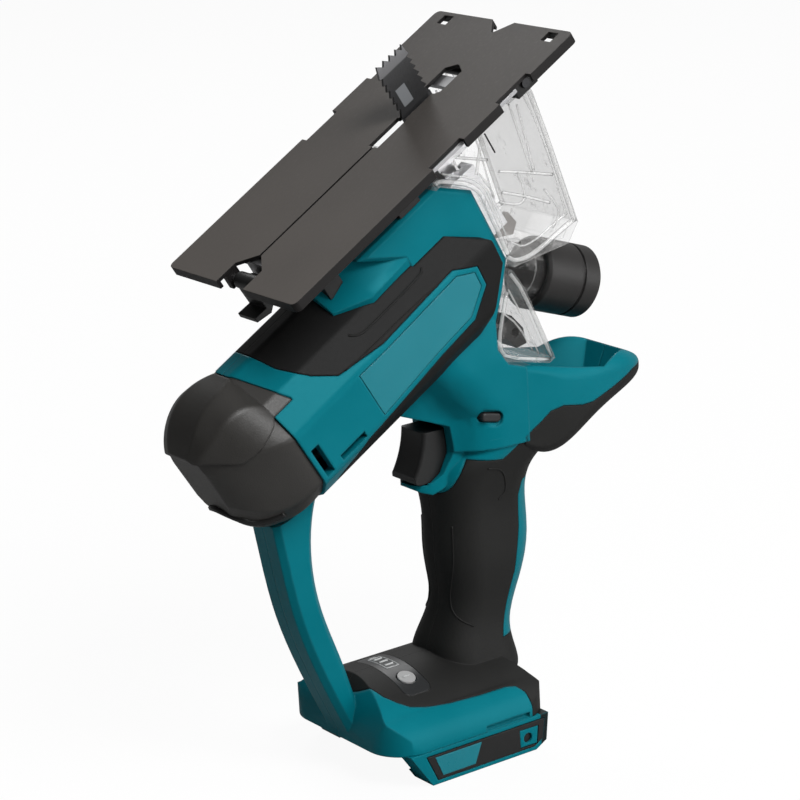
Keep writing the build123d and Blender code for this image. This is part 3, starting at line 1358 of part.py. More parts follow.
with BuildPart() as base_frame:
    half = FRAME_WIDTH / 2
    add(deck_box(FRAME_FRONT, FRAME_BACK, -half, half, FRAME_LOW, FRAME_TOP))
    add(deck_box(80, FRAME_BACK - 6, 2 - CASE_HALF, CASE_HALF - 2, FRAME_LOW, FRAME_TOP), mode=Mode.SUBTRACT)
    add(deck_box(FRAME_FRONT + 22, 62, -26, 26, FRAME_LOW, FRAME_TOP), mode=Mode.SUBTRACT)
    add(deck_box(FRAME_FRONT, FRAME_FRONT + FRAME_SHEET, -8, 8, FRAME_LOW - 6, FRAME_LOW))
base_frame.part.label = "base_frame"
export_step(base_frame.part, "parts/base_frame.step")

with BuildPart() as frame_brackets:
    for side in (-1, 1):
        add(deck_box(26, 34, side * 10 - 3.4, side * 10 + 3.4, BULGE_TOP - 9, FRAME_LOW))
        add(deck_box(65, 76, side * 17 - 3.6, side * 17 + 3.6, HEAD_TOP, FRAME_LOW))
    add(bulge_form(), mode=Mode.SUBTRACT)
    add(head_form(), mode=Mode.SUBTRACT)
frame_brackets.part.label = "frame_brackets"
export_step(frame_brackets.part, "parts/frame_brackets.step")

with BuildPart() as base_plate:
    with BuildSketch(deck_level(-PLATE_LIP)):
        with Locations((PLATE_LENGTH / 2, 0)):
            RectangleRounded(PLATE_LENGTH, PLATE_WIDTH, 2.5)
    extrude(amount=PLATE_LIP)
    lip = PLATE_SHEET
    add(
        deck_box(lip, PLATE_LENGTH - lip, lip - PLATE_HALF, PLATE_HALF - lip, -PLATE_LIP, -PLATE_SHEET),
        mode=Mode.SUBTRACT,
    )
    with BuildSketch(deck_level(-PLATE_LIP)):
        for outline in (NOTCH, SAW_SLOT, END_NOTCH):
            with BuildLine():
                Polyline(*outline, *[(u, -y) for u, y in reversed(outline)], close=True)
            make_face()
        for side in (-1, 1):
            with Locations((152.5, side * 33.1)):
                Rectangle(5, 6)
            with Locations((85, side * PLATE_HALF), (123, side * PLATE_HALF)):
                Rectangle(17.5, 6)
    extrude(amount=2 * PLATE_LIP, mode=Mode.SUBTRACT)
    for side in (-1, 1):
        middle = side * (NOTCH_HALF + GAP + LATCH_EAR / 2)
        low = -LATCH_DROP - LATCH_PIN_RADIUS - 1.5
        left = middle - LATCH_EAR / 2
        add(deck_box(LATCH_U - 3, LATCH_U + 3, left, left + LATCH_EAR, low, -PLATE_SHEET))
    add(cross_pin(deck_axis(LATCH_U, -LATCH_DROP), LATCH_PIN_RADIUS, -20, 20), mode=Mode.SUBTRACT)
base_plate.part.label = "base_plate"
export_step(base_plate.part, "parts/base_plate.step")

with BuildPart() as hinge_lugs:
    for side in (-1, 1):
        with BuildSketch(deck_side(side * (HINGE_Y + HINGE_LUG / 2))):
            with Locations((HINGE_U, -(HINGE_LUG_DROP + PLATE_SHEET) / 2)):
                Rectangle(HINGE_LUG_LENGTH, HINGE_LUG_DROP - PLATE_SHEET)
            with Locations((HINGE_U, -HINGE_DROP)):
                Circle(HINGE_PIN_RADIUS + RUN, mode=Mode.SUBTRACT)
        extrude(amount=HINGE_LUG / 2, both=True)
hinge_lugs.part.label = "hinge_lugs"
export_step(hinge_lugs.part, "parts/hinge_lugs.step")

with BuildPart() as hinge_pin:
    reach = HINGE_Y + HINGE_LUG + 1
    add(cross_pin(deck_axis(HINGE_U, -HINGE_DROP), HINGE_PIN_RADIUS, -reach, reach))
hinge_pin.part.label = "hinge_pin"
export_step(hinge_pin.part, "parts/hinge_pin.step")

with BuildPart() as latch_pin:
    reach = NOTCH_HALF + GAP + LATCH_EAR
    add(cross_pin(deck_axis(LATCH_U, -LATCH_DROP), LATCH_PIN_RADIUS, -reach, reach))
latch_pin.part.label = "latch_pin"
export_step(latch_pin.part, "parts/latch_pin.step")

with BuildPart() as latch_lever:
    with BuildSketch(deck_axis(LATCH_U, -LATCH_DROP)):
        Circle(LATCH_PIN_RADIUS + 1.8)
        with BuildLine():
            Polyline(
                (-1, 3), (5.9, -1.6), (5.9, -4.2), (2, -4.4), (2.2, -9.6), (-1.6, -12.8), (-8.6, -11.6),
                (-8.6, -9.6), (-2.4, -9.8), (-2.6, -2), close=True,
            )
        make_face()
        Circle(LATCH_PIN_RADIUS + RUN, mode=Mode.SUBTRACT)
    extrude(amount=LATCH_HALF, both=True)
latch_lever.part.label = "latch_lever"
export_step(latch_lever.part, "parts/latch_lever.step")
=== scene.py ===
"""Looks of the cordless drywall saw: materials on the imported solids, and the thin marks that the solids leave
out. Metres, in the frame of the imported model; paths and bead sizes are written in mm."""

import json
import math

import bpy
from mathutils import Matrix, Vector
from mathutils.bvhtree import BVHTree


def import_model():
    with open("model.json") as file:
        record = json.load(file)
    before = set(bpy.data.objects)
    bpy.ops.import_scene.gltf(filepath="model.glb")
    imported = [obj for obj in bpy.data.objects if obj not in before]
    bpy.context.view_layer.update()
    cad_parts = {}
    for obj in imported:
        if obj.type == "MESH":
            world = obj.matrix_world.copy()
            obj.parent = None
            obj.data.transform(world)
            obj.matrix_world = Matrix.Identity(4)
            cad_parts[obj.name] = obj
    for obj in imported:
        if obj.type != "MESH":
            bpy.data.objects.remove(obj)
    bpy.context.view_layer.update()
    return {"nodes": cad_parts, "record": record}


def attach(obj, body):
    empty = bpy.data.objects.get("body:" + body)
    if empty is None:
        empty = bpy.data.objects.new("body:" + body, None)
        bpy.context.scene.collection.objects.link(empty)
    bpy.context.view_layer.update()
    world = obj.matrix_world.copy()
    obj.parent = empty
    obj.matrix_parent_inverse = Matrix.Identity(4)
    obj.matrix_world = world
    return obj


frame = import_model()
NODES = frame["nodes"]
MM = 0.001
WHITE = (1, 1, 1, 1)

# Deck frame of the base plate: u climbs the plate, n points out of it
DECK_ORIGIN = Vector((-75, 0, 207.2)) * MM
DECK_TILT = math.radians(31)
DECK_U = Vector((math.cos(DECK_TILT), 0, math.sin(DECK_TILT)))
DECK_N = Vector((-math.sin(DECK_TILT), 0, math.cos(DECK_TILT)))
PLATE_LENGTH = 0.157
RIGHT = Vector((0, 1, 0))
DOWN = Vector((0, 0, -1))
SIDES = ((-1, "left"), (1, "right"))

# Camera, worked out from the photograph's edges
CAMERA_PLACE = Vector((-630.9, -893.6, 471.3)) * MM
CAMERA_RIGHT = Vector((0.806, -0.589, -0.052))
CAMERA_AHEAD = Vector((0.553, 0.783, -0.285))
CAMERA_LENS = 130.4
CAMERA_SENSOR = 36
CAMERA_NEAR = 0.05


def deck(u, y, n):
    """Point of the deck frame, from mm."""
    return DECK_ORIGIN + (DECK_U * u + RIGHT * y + DECK_N * n) * MM


def world(x, y, z):
    """Point of the model's frame, from mm."""
    return Vector((x, y, z)) * MM


class Shader:
    """One node material with a few short ways to add and join nodes."""

    # Agreement of the true normal with the rounded one, on open faces and where the edge mask is full
    OPEN_FACE, WORN_EDGE = 0.995, 0.85

    def __init__(self, name):
        self.material = bpy.data.materials.new(name)
        self.material.use_nodes = True
        self.tree = self.material.node_tree
        self.base = self.tree.nodes["Principled BSDF"]
        where = self.node("ShaderNodeTexCoord")
        self.place = where.outputs["Object"]
        self.normal = where.outputs["Normal"]

    def node(self, kind, **settings):
        made = self.tree.nodes.new(kind)
        for key, value in settings.items():
            setattr(made, key, value)
        return made

    def join(self, out, into):
        self.tree.links.new(out, into)

    def feed(self, value, into):
        """Joins another node's output to an input, or sets the input to a plain value."""
        if isinstance(value, bpy.types.NodeSocket):
            self.join(value, into)
        else:
            into.default_value = value

    def set(self, **values):
        """Feeds inputs of the surface, which are named with _ for a space."""
        for key, value in values.items():
            self.feed(value, self.base.inputs[key.replace("_", " ")])

    def noise(self, scale, detail=2.0, stretch=None, rough=0.5):
        """Noise over the object; stretch is a scale for each axis and a turn about Y."""
        made = self.node("ShaderNodeTexNoise")
        for name, number in (("Scale", scale), ("Detail", detail), ("Roughness", rough)):
            made.inputs[name].default_value = number
        source = self.place
        if stretch:
            scales, turn = stretch
            mapping = self.node("ShaderNodeMapping")
            mapping.inputs["Rotation"].default_value = (0, turn, 0)
            mapping.inputs["Scale"].default_value = scales
            self.join(source, mapping.inputs["Vector"])
            source = mapping.outputs["Vector"]
        self.join(source, made.inputs["Vector"])
        return made.outputs["Fac"]

    def math(self, how, first, second=0.0, clamp=False):
        made = self.node("ShaderNodeMath", operation=how, use_clamp=clamp)
        self.feed(first, made.inputs[0])
        self.feed(second, made.inputs[1])
        return made.outputs[0]

    def span(self, value, low, high, to_low=0.0, to_high=1.0):
        """The value moved from one range to another, and held inside it."""
        made = self.node("ShaderNodeMapRange")
        for name, number in (("From Min", low), ("From Max", high), ("To Min", to_low), ("To Max", to_high)):
            made.inputs[name].default_value = number
        self.join(value, made.inputs["Value"])
        return made.outputs["Result"]

    def within(self, value, low, high, soft=0.0002):
        """1 between two values and 0 outside them."""
        return self.math("MULTIPLY", self.span(value, low, low + soft), self.span(value, high, high - soft))

    def mix(self, factor, first, second):
        """Blend of two colours, each an output or three numbers."""
        made = self.node("ShaderNodeMix", data_type="RGBA")
        self.join(factor, made.inputs["Factor"])
        for value, into in ((first, made.inputs["A"]), (second, made.inputs["B"])):
            self.feed((*value, 1) if isinstance(value, tuple) else value, into)
        return made.outputs["Result"]

    def dot(self, first, second):
        made = self.node("ShaderNodeVectorMath", operation="DOT_PRODUCT")
        self.feed(first, made.inputs[0])
        self.feed(second, made.inputs[1])
        return made.outputs["Value"]

    def along(self, axis, origin):
        """Distance of the surface point from origin, along an axis."""
        less = self.node("ShaderNodeVectorMath", operation="SUBTRACT")
        self.join(self.place, less.inputs[0])
        less.inputs[1].default_value = origin
        return self.dot(less.outputs["Vector"], axis)

    def facing(self, axis):
        """How squarely the surface faces along an axis, either way: 1 square on, 0 edge on."""
        return self.math("ABSOLUTE", self.dot(self.normal, axis))

    def glance(self, blend, kind):
        """How far the surface turns from the eye, for gloss and clear edges."""
        made = self.node("ShaderNodeLayerWeight")
        made.inputs["Blend"].default_value = blend
        return made.outputs[kind]

    def bump(self, height, distance, strength=1.0, edge=0.0):
        """Fine relief, over edges rounded by the radius called edge."""
        made = self.node("ShaderNodeBump")
        made.inputs["Distance"].default_value = distance
        made.inputs["Strength"].default_value = strength
        self.join(height, made.inputs["Height"])
        if edge:
            self.join(self.rounded(edge), made.inputs["Normal"])
        self.set(Normal=made.outputs["Normal"])

    def rounded(self, radius):
        made = self.node("ShaderNodeBevel", samples=4)
        made.inputs["Radius"].default_value = radius
        return made.outputs["Normal"]

    def edge_wear_and_shade(self, radius):
        """0 on open faces, rising to 1 at edges."""
        true = self.node("ShaderNodeNewGeometry").outputs["Normal"]
        return self.span(self.dot(self.rounded(radius), true), self.OPEN_FACE, self.WORN_EDGE)


TEAL = (0.0, 0.14, 0.178)
TEAL_SHEEN = (0.2, 0.9, 1, 1)
CHARCOAL = (0.011, 0.011, 0.0105)
CLEAR_IOR = 1.5


def moulded(name, colour, roughness, grain=1400, depth=0.00003, clouds=0.08, edge=0.0006, rim=0.25, shine=0.3,
            tint=WHITE, back=None):
    """Moulded plastic or rubber: fine grain, faint clouds in colour and gloss, and paler edges; black behind
    the X called back."""
    s = Shader(name)
    fine = s.noise(grain, 3)
    cloud = s.noise(28, 3)
    dark = tuple(c * (1 - clouds) for c in colour)
    light = tuple(c * (1 + clouds) + 0.002 for c in colour)
    pale = tuple(c + rim * (0.12 + 0.5 * c) for c in colour)
    body = s.mix(s.span(cloud, 0.3, 0.7), dark, light)
    if back:
        behind = s.span(s.along((1, 0, 0), (0, 0, 0)), back, back + 0.0002)
        body = s.mix(behind, body, CHARCOAL)
    edges = s.math("MULTIPLY", s.edge_wear_and_shade(edge), s.span(s.noise(160, 4), 0.35, 0.7, 0.15, 0.6))
    gloss = s.math("ADD", s.span(fine, 0.2, 0.8, -0.06, 0.06), s.span(cloud, 0.2, 0.8, -0.04, 0.04))
    s.set(Base_Color=s.mix(edges, body, pale), Roughness=s.math("ADD", gloss, roughness),
          Specular_IOR_Level=shine, Specular_Tint=tint)
    s.bump(fine, depth, edge=edge)
    return s.material


def metal(name, colour, roughness, tilt=0.0, grain=260):
    """Bare metal with fine drawn lines, turned about Y by tilt."""
    s = Shader(name)
    lines = s.noise(grain, 4, ((1, 14, 14), tilt))
    patch = s.noise(45, 3)
    dark, light = (tuple(c * k for c in colour) for k in (0.82, 1.05))
    gloss = s.span(lines, 0.2, 0.8, roughness - 0.08, roughness + 0.1)
    s.set(Base_Color=s.mix(s.span(lines, 0.3, 0.7), dark, light), Metallic=1.0,
          Roughness=s.math("ADD", gloss, s.span(patch, 0.3, 0.7, -0.04, 0.04)))
    s.bump(lines, 0.00002, edge=0.0003)
    return s.material


def plate_paint():
    """Brown-grey satin coat with a painted sheen, lighter low on the plate and darker up it, lightly rubbed
    along it, black on the rim as painted shade, and worn paler at its edges."""
    painted_sheen_low_end, painted_shade_high_end = (0.098, 0.088, 0.08), (0.048, 0.0435, 0.0405)
    rubbed, black, bare = (0.11, 0.1, 0.093), (0.012, 0.011, 0.011), (0.2, 0.19, 0.18)
    s = Shader("plate_paint")
    fine = s.noise(2600, 2)
    rub = s.noise(120, 4, ((0.5, 9, 9), DECK_TILT))
    cloud = s.noise(16, 2)
    # Painted sheen and shade: lighter at the plate's low end, darker up the plate
    painted_sheen_climb = s.span(s.along(DECK_U, DECK_ORIGIN), 0.0, PLATE_LENGTH)
    painted_sheen_climb = s.math("ADD", painted_sheen_climb, s.span(cloud, 0.3, 0.7, -0.15, 0.15))
    coat = s.mix(painted_sheen_climb, painted_sheen_low_end, painted_shade_high_end)
    coat = s.mix(s.span(rub, 0.58, 0.8, 0, 0.3), coat, rubbed)
    # Painted shade: black where the plate's rim turns away from the deck's face
    coat = s.mix(s.span(s.facing(DECK_N), 0.75, 0.45), coat, black)
    coat = s.mix(s.math("MULTIPLY", s.edge_wear_and_shade(0.0004), 0.3), coat, bare)
    gloss = s.math("ADD", s.span(fine, 0.2, 0.8, 0.42, 0.54), s.span(rub, 0.4, 0.8, 0, -0.06))
    s.set(Base_Color=coat, Roughness=gloss, Specular_IOR_Level=0.16)
    s.bump(fine, 0.000012, edge=0.0004)
    return s.material


def blade_steel():
    """Black coat with a bright ground tip and a pale window mark."""
    black, lined = (0.012, 0.012, 0.013), (0.022, 0.022, 0.023)
    pale, ground = (0.2, 0.21, 0.22), (0.16, 0.16, 0.165)
    s = Shader("blade_steel")
    n = s.along(DECK_N, DECK_ORIGIN)
    u = s.along(DECK_U, DECK_ORIGIN)
    lines = s.noise(500, 3, ((14, 14, 1), -DECK_TILT))
    tip = s.span(n, 0.0185, 0.0190)
    window = s.math("MULTIPLY", s.within(u, 0.1005, 0.1057), s.within(n, 0.003, 0.0112))
    coat = s.mix(s.span(lines, 0.3, 0.7), black, lined)
    coat = s.mix(s.math("MULTIPLY", window, 0.8), coat, pale)
    s.set(Base_Color=s.mix(tip, coat, ground), Metallic=tip, Roughness=s.span(lines, 0.2, 0.8, 0.25, 0.42))
    s.bump(lines, 0.000015, edge=0.0002)
    return s.material


def clear_plastic():
    """Clear moulded plastic: thin walls that tint a little, with painted grey shade at edges, shine at a
    glancing angle, and painted streaks of shade where the low part of the case bends what lies behind it."""
    wall, rim, shade = (0.62, 0.61, 0.6), (0.3, 0.3, 0.29), (0.3, 0.3, 0.3)
    s = Shader("clear_plastic")
    flow = s.noise(60, 2)
    # Painted shade: grey gathered along the clear plastic's edges
    edge = s.math("MULTIPLY", s.edge_wear_and_shade(0.0009), s.span(s.noise(210, 3), 0.3, 0.7, 0.45, 1.0))
    # Painted shade: dark streaks low in the case, where it bends what lies behind it
    bent = s.noise(150, 4, ((1.6, 1.0, 0.7), -0.5), 0.62)
    low = s.span(s.along(DECK_N, DECK_ORIGIN), -0.036, -0.05)
    streak = s.math("MULTIPLY", s.span(bent, 0.6, 0.7), low)
    heart = s.math("MULTIPLY", s.span(bent, 0.66, 0.74), low)
    gloss = s.math("MULTIPLY", s.glance(0.22, "Fresnel"), 0.35)
    cover = s.math("ADD", s.span(flow, 0.3, 0.7, 0.012, 0.03), gloss)
    cover = s.math("ADD", cover, s.math("MULTIPLY", streak, 0.2))
    cover = s.math("ADD", cover, s.math("MULTIPLY", edge, 0.5), clamp=True)
    s.set(Base_Color=s.mix(heart, s.mix(edge, wall, rim), shade), Alpha=cover,
          Roughness=s.span(flow, 0.3, 0.7, 0.04, 0.1),
          IOR=CLEAR_IOR, Specular_IOR_Level=1.0, Coat_Weight=1.0, Coat_Roughness=0.03)
    s.bump(flow, 0.00006, 0.35)
    return s.material


def clear_bead():
    """Thick edge of clear plastic: a painted highlight in the middle and painted shade where it turns from the
    eye.
    """
    # Painted highlight for the middle of the bead, painted shade where it turns away
    painted_glint, dark = (0.97, 0.97, 0.96), (0.06, 0.06, 0.06)
    s = Shader("clear_bead")
    side = s.glance(0.5, "Facing")
    flow = s.noise(300, 3)
    uneven = s.span(flow, 0.35, 0.65, -0.05, 0.05)
    cover = s.math("ADD", s.span(side, 0.3, 0.85, 0.3, 0.75), uneven, clamp=True)
    s.set(Base_Color=s.mix(s.span(side, 0.4, 0.8), painted_glint, dark), Alpha=cover,
          Roughness=s.span(flow, 0.3, 0.7, 0.05, 0.15), IOR=CLEAR_IOR, Specular_IOR_Level=1.0)
    return s.material


def board():
    """Green circuit board with paler tracks."""
    green, track = (0.01, 0.08, 0.03), (0.03, 0.16, 0.06)
    s = Shader("board")
    tracks = s.noise(420, 1)
    s.set(Base_Color=s.mix(s.span(tracks, 0.52, 0.56), green, track),
          Roughness=s.span(tracks, 0.3, 0.7, 0.35, 0.5))
    s.bump(tracks, 0.00002)
    return s.material


TEAL_PLASTIC = dict(colour=TEAL, roughness=0.36, grain=1500, depth=0.00002, clouds=0.06, shine=0.16,
                    tint=TEAL_SHEEN)
RUBBER = dict(grain=2100, depth=0.00005, clouds=0.12, edge=0.0008, rim=0.08)
GREY = dict(roughness=0.45, depth=0.00002, clouds=0.06, edge=0.0004)
PLASTICS = {
    "shell": dict(TEAL_PLASTIC, edge=0.0012),
    "rail": dict(TEAL_PLASTIC, edge=0.0008, back=0.0336),
    "label": dict(colour=(0.008, 0.175, 0.218), roughness=0.32, grain=1200, depth=0.00001, clouds=0.05,
                  shine=0.25),
    "soft_skin": dict(RUBBER, colour=CHARCOAL, roughness=0.6, shine=0.18),
    # Copy of the soft skin's rubber, darkened as painted shade for the barrel's band, which faces the key lamp
    "band": dict(RUBBER, colour=(0.006, 0.006, 0.006), roughness=0.55, shine=0.14),
    "cap_rubber": dict(RUBBER, colour=(0.016, 0.015, 0.0145), roughness=0.45, grain=1700, depth=0.00003,
                       shine=0.4),
    "end_cap": dict(RUBBER, colour=(0.029, 0.0275, 0.0255), roughness=0.4, grain=1800, depth=0.00004,
                    edge=0.001, shine=0.35),
    "black_plastic": dict(colour=(0.01, 0.01, 0.01), roughness=0.42, grain=1500, clouds=0.1, edge=0.0005,
                          rim=0.08),
    "carbon": dict(colour=(0.01, 0.01, 0.01), roughness=0.6, grain=900),
    "gauge": dict(colour=(0.02, 0.021, 0.022), roughness=0.35, grain=1300, depth=0.00001, edge=0.0004, rim=0.1),
    "lock_button": dict(colour=(0.02, 0.02, 0.02), roughness=0.4, grain=1500, depth=0.00002, edge=0.0004,
                        rim=0.3),
    "grey_plastic": dict(GREY, colour=(0.14, 0.125, 0.115), grain=1500),
    "grey_metal": dict(GREY, colour=(0.25, 0.235, 0.225)),
    "gauge_button": dict(GREY, colour=(0.3, 0.3, 0.3), grain=1500),
    "print": dict(colour=(0.42, 0.43, 0.43), roughness=0.5, grain=1200, depth=0.00001, clouds=0.05, edge=0.0002,
                  rim=0.05),
}
METALS = {
    "contacts": dict(colour=(0.72, 0.58, 0.32), roughness=0.3),
    "steel": dict(colour=(0.62, 0.62, 0.63), roughness=0.3),
    "black_steel": dict(colour=(0.05, 0.05, 0.052), roughness=0.38),
    "frame_steel": dict(colour=(0.4, 0.4, 0.41), roughness=0.45, tilt=DECK_TILT),
    "slider_metal": dict(colour=(0.66, 0.66, 0.67), roughness=0.33, tilt=-DECK_TILT),
    "cast_alloy": dict(colour=(0.72, 0.72, 0.73), roughness=0.45, tilt=0.4, grain=90),
}
MATERIALS = {name: moulded(name, **look) for name, look in PLASTICS.items()}
MATERIALS |= {name: metal(name, **look) for name, look in METALS.items()}
MATERIALS |= {made.__name__: made() for made in (plate_paint, blade_steel, clear_plastic, clear_bead, board)}

# Nodes that don't wear the material named by their slot
LOOKS = {
    "left_rail": "rail",
    "right_rail": "rail",
    # The barrel's overmoulds wear band, the soft skin's rubber darkened as painted shade
    "left_barrel_overmould": "band",
    "right_barrel_overmould": "band",
    "base_frame": "frame_steel",
    "gauge_button": "gauge_button",
    "lock_button": "lock_button",
}

WELD_DISTANCE = 0.000005
FLAT_ANGLE = math.radians(0.6)
SMOOTH_ANGLE = math.radians(32)
SHARP_ANGLE = math.radians(34)


def smooth_group():
    """Node group that shades a mesh smooth except over sharp edges."""
    group = bpy.data.node_groups.new("smooth_by_angle", "GeometryNodeTree")
    for way in ("INPUT", "OUTPUT"):
        group.interface.new_socket("Geometry", in_out=way, socket_type="NodeSocketGeometry")
    start = group.nodes.new("NodeGroupInput")
    end = group.nodes.new("NodeGroupOutput")
    faces = group.nodes.new("GeometryNodeSetShadeSmooth")
    edges = group.nodes.new("GeometryNodeSetShadeSmooth")
    edges.domain = "EDGE"
    angle = group.nodes.new("GeometryNodeInputMeshEdgeAngle")
    flat = group.nodes.new("FunctionNodeCompare")
    flat.operation = "LESS_THAN"
    flat.inputs["B"].default_value = SMOOTH_ANGLE
    group.links.new(angle.outputs["Unsigned Angle"], flat.inputs["A"])
    group.links.new(start.outputs[0], faces.inputs["Geometry"])
    group.links.new(faces.outputs["Geometry"], edges.inputs["Geometry"])
    group.links.new(flat.outputs["Result"], edges.inputs["Shade Smooth"])
    group.links.new(edges.outputs["Geometry"], end.inputs[0])
    return group


SMOOTH = smooth_group()


def soften(piece, width=0.0, segments=2):
    """Joins the mesh up, rounds its sharp edges and shades it smooth between them."""
    mesh = piece.data
    if "custom_normal" in mesh.attributes:
        mesh.attributes.remove(mesh.attributes["custom_normal"])
    weld = piece.modifiers.new("weld", "WELD")
    weld.merge_threshold = WELD_DISTANCE
    plane = piece.modifiers.new("planes", "DECIMATE")
    plane.decimate_type = "DISSOLVE"
    plane.angle_limit = FLAT_ANGLE
    if width:
        bevel = piece.modifiers.new("edges", "BEVEL")
        bevel.width = width
        bevel.segments = segments
        bevel.limit_method = "ANGLE"
        bevel.angle_limit = SHARP_ANGLE
        bevel.use_clamp_overlap = True
    smooth = piece.modifiers.new("smooth", "NODES")
    smooth.node_group = SMOOTH
    even = piece.modifiers.new("even", "WEIGHTED_NORMAL")
    even.keep_sharp = True
    even.weight = 100


# Width of rounded edges, and the steps across them where they aren't 2; other nodes keep sharp edges
EDGES = {
    "left_housing": (0.0006,),
    "right_housing": (0.0006,),
    "left_rail": (0.0004,),
    "right_rail": (0.0004,),
    "motor_end_cap": (0.001, 3),
    "trigger": (0.0005,),
    "dust_case": (0.0004,),
    "lower_cover": (0.0004,),
    "base_plate": (0.0003,),
    "latch_lever": (0.0005,),
}
SLOTS = {part["node"]: part["material_slot"] for part in frame["record"]["subparts"]}
for name, node in NODES.items():
    node.data.materials.clear()
    node.data.materials.append(MATERIALS[LOOKS.get(name, SLOTS[name])])
    soften(node, *EDGES.get(name, ()))

# How a path is laid on a skin: steps along it, start in front of it, reach of each ray and least gap
LAY_STEP, LAY_HEIGHT, LAY_REACH, LAY_GAP = 0.001, 0.012, 0.03, 0.0002
BEAD_SIDES = 8


def eased(path, times=2):
    """The path with its corners cut to curves."""
    for _ in range(times):
        cut = [path[0]]
        for first, last in zip(path, path[1:]):
            cut += [first.lerp(last, 0.25), first.lerp(last, 0.75)]
        path = cut + [path[-1]]
    return path


def skin(*names):
    """What a path can be laid on: the meshes of some solids."""
    points, faces = [], []
    for name in names:
        node = NODES[name]
        start = len(points)
        points += [node.matrix_world @ v.co for v in node.data.vertices]
        faces += [[start + i for i in face.vertices] for face in node.data.polygons]
    return BVHTree.FromPolygons(points, faces)


def drape(target, path, aim):
    """The path laid on a skin, looking along aim from in front of it."""
    laid = []
    aim = aim.normalized()
    for first, last in zip(path, path[1:]):
        count = max(1, round((last - first).length / LAY_STEP))
        for i in range(count + 1):
            start = first.lerp(last, i / count) - aim * LAY_HEIGHT
            hit = target.ray_cast(start, aim, LAY_REACH)[0]
            if hit and (not laid or (hit - laid[-1]).length > LAY_GAP):
                laid.append(hit)
    return laid


def bead(name, path, radius, slot, body, look=None):
    """A round bead along a path, which wears its slot's material or another look."""
    points, faces = [], []
    across = (path[1] - path[0]).orthogonal()
    last = len(path) - 1
    for i, place in enumerate(path):
        ahead = (path[min(i + 1, last)] - path[max(i - 1, 0)]).normalized()
        across = (across - ahead * across.dot(ahead)).normalized()
        other = ahead.cross(across)
        for k in range(BEAD_SIDES):
            turn = 2 * math.pi * k / BEAD_SIDES
            points.append(place + (across * math.cos(turn) + other * math.sin(turn)) * radius * MM)
    for i in range(last):
        for k in range(BEAD_SIDES):
            a, b = i * BEAD_SIDES + k, i * BEAD_SIDES + (k + 1) % BEAD_SIDES
            faces.append((a, b, b + BEAD_SIDES, a + BEAD_SIDES))
    faces += [tuple(reversed(range(BEAD_SIDES))), tuple(range(last * BEAD_SIDES, (last + 1) * BEAD_SIDES))]
    mesh = bpy.data.meshes.new(name)
    mesh.from_pydata(points, [], faces)
    mesh.shade_smooth()
    mesh.materials.append(MATERIALS[look or slot])
    piece = bpy.data.objects.new(name, mesh)
    bpy.context.scene.collection.objects.link(piece)
    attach(piece, body)


def rubber_lines():
    """Ridges on the soft skin of the barrel and the grip, on both sides."""
    barrel = skin("left_barrel_overmould", "right_barrel_overmould")
    grip = skin("left_grip_overmould", "right_grip_overmould")
    # In the deck frame: radius, then u, y and n
    band_lines = {
        "band_ledge": (0.5, [(20.4, 22, -39), (23.2, 23.5, -41.2), (26.9, 23.9, -41.8), (58.7, 23.7, -41.5),
                             (60.7, 22.7, -39.9)]),
        "band_border": (0.3, [(-7.4, 18.2, -34.7), (-0.8, 24.8, -43.1), (5, 27.2, -46.6), (64.4, 27.4, -46.8),
                              (75.2, 29.5, -52.9)]),
    }
    # In the side view: radius, then X and Z
    grip_lines = {
        "grip_seam": (0.35, [(15.1, 92.2), (14.9, 79.5), (14.9, 62.5), (14.4, 54.9), (16.3, 51.8),
                             (20.2, 49.5)]),
        "grip_panel": (0.35, [(26.7, 116.1), (35.2, 113.7), (38.2, 103.7), (34, 100.5)]),
    }
    beside_grip = 17
    for side, hand in SIDES:
        inward = RIGHT * -side
        for name, (size, path) in band_lines.items():
            laid = drape(barrel, eased([deck(u, side * y, n) for u, y, n in path]), inward - DECK_N * 0.6)
            bead(f"{hand}_{name}", laid, size, "soft_skin", "housing")
        for name, (size, path) in grip_lines.items():
            laid = drape(grip, eased([world(x, side * beside_grip, z) for x, z in path]), inward)
            bead(f"{hand}_{name}", laid, size, "soft_skin", "housing")


def cap_chin_band():
    """Black bead along the dark band under the chin of the end cap."""
    half = [(-70.2, 20.2, 120.7), (-71.2, 19.2, 119.9), (-75.1, 15.9, 118), (-78.9, 12.7, 117.4),
            (-83.7, 10, 119.3), (-86.7, 4.5, 121.3), (-87.3, 0, 121.9)]
    path = [world(x, -y, z) for x, y, z in half] + [world(x, y, z) for x, y, z in reversed(half[:-1])]
    bead("cap_chin_band", eased(path), 1.5, "end_cap", "housing", "black_plastic")


def gauge_marks():
    """Battery sign on the charge gauge, and a short mark on its button."""
    above_panel, above_button, button_y = 39, 40, -14
    outline, bar = 0.22, 0.5
    case = [(-17, -5), (-17, 8), (-11, 8), (-11, -5), (-17, -5)]
    nub = [(-15.2, 8.2), (-15.2, 9.4), (-12.8, 9.4), (-12.8, 8.2)]
    signs = [(case, outline), (nub, outline)]
    signs += [([(-16, y), (-12, y)], bar) for y in (-2.4, 1.5, 5.4)]
    panel = skin("gauge_panel")
    for i, (line, size) in enumerate(signs):
        laid = drape(panel, [world(x, y, above_panel) for x, y in line], DOWN)
        bead(f"gauge_mark_{i + 1}", laid, size, "gauge", "housing", "print")
    laid = drape(skin("gauge_button"), [world(x, button_y, above_button) for x in (-15.8, -12.2)], DOWN)
    bead("button_mark", laid, 0.3, "grey_plastic", "charge_button", "print")


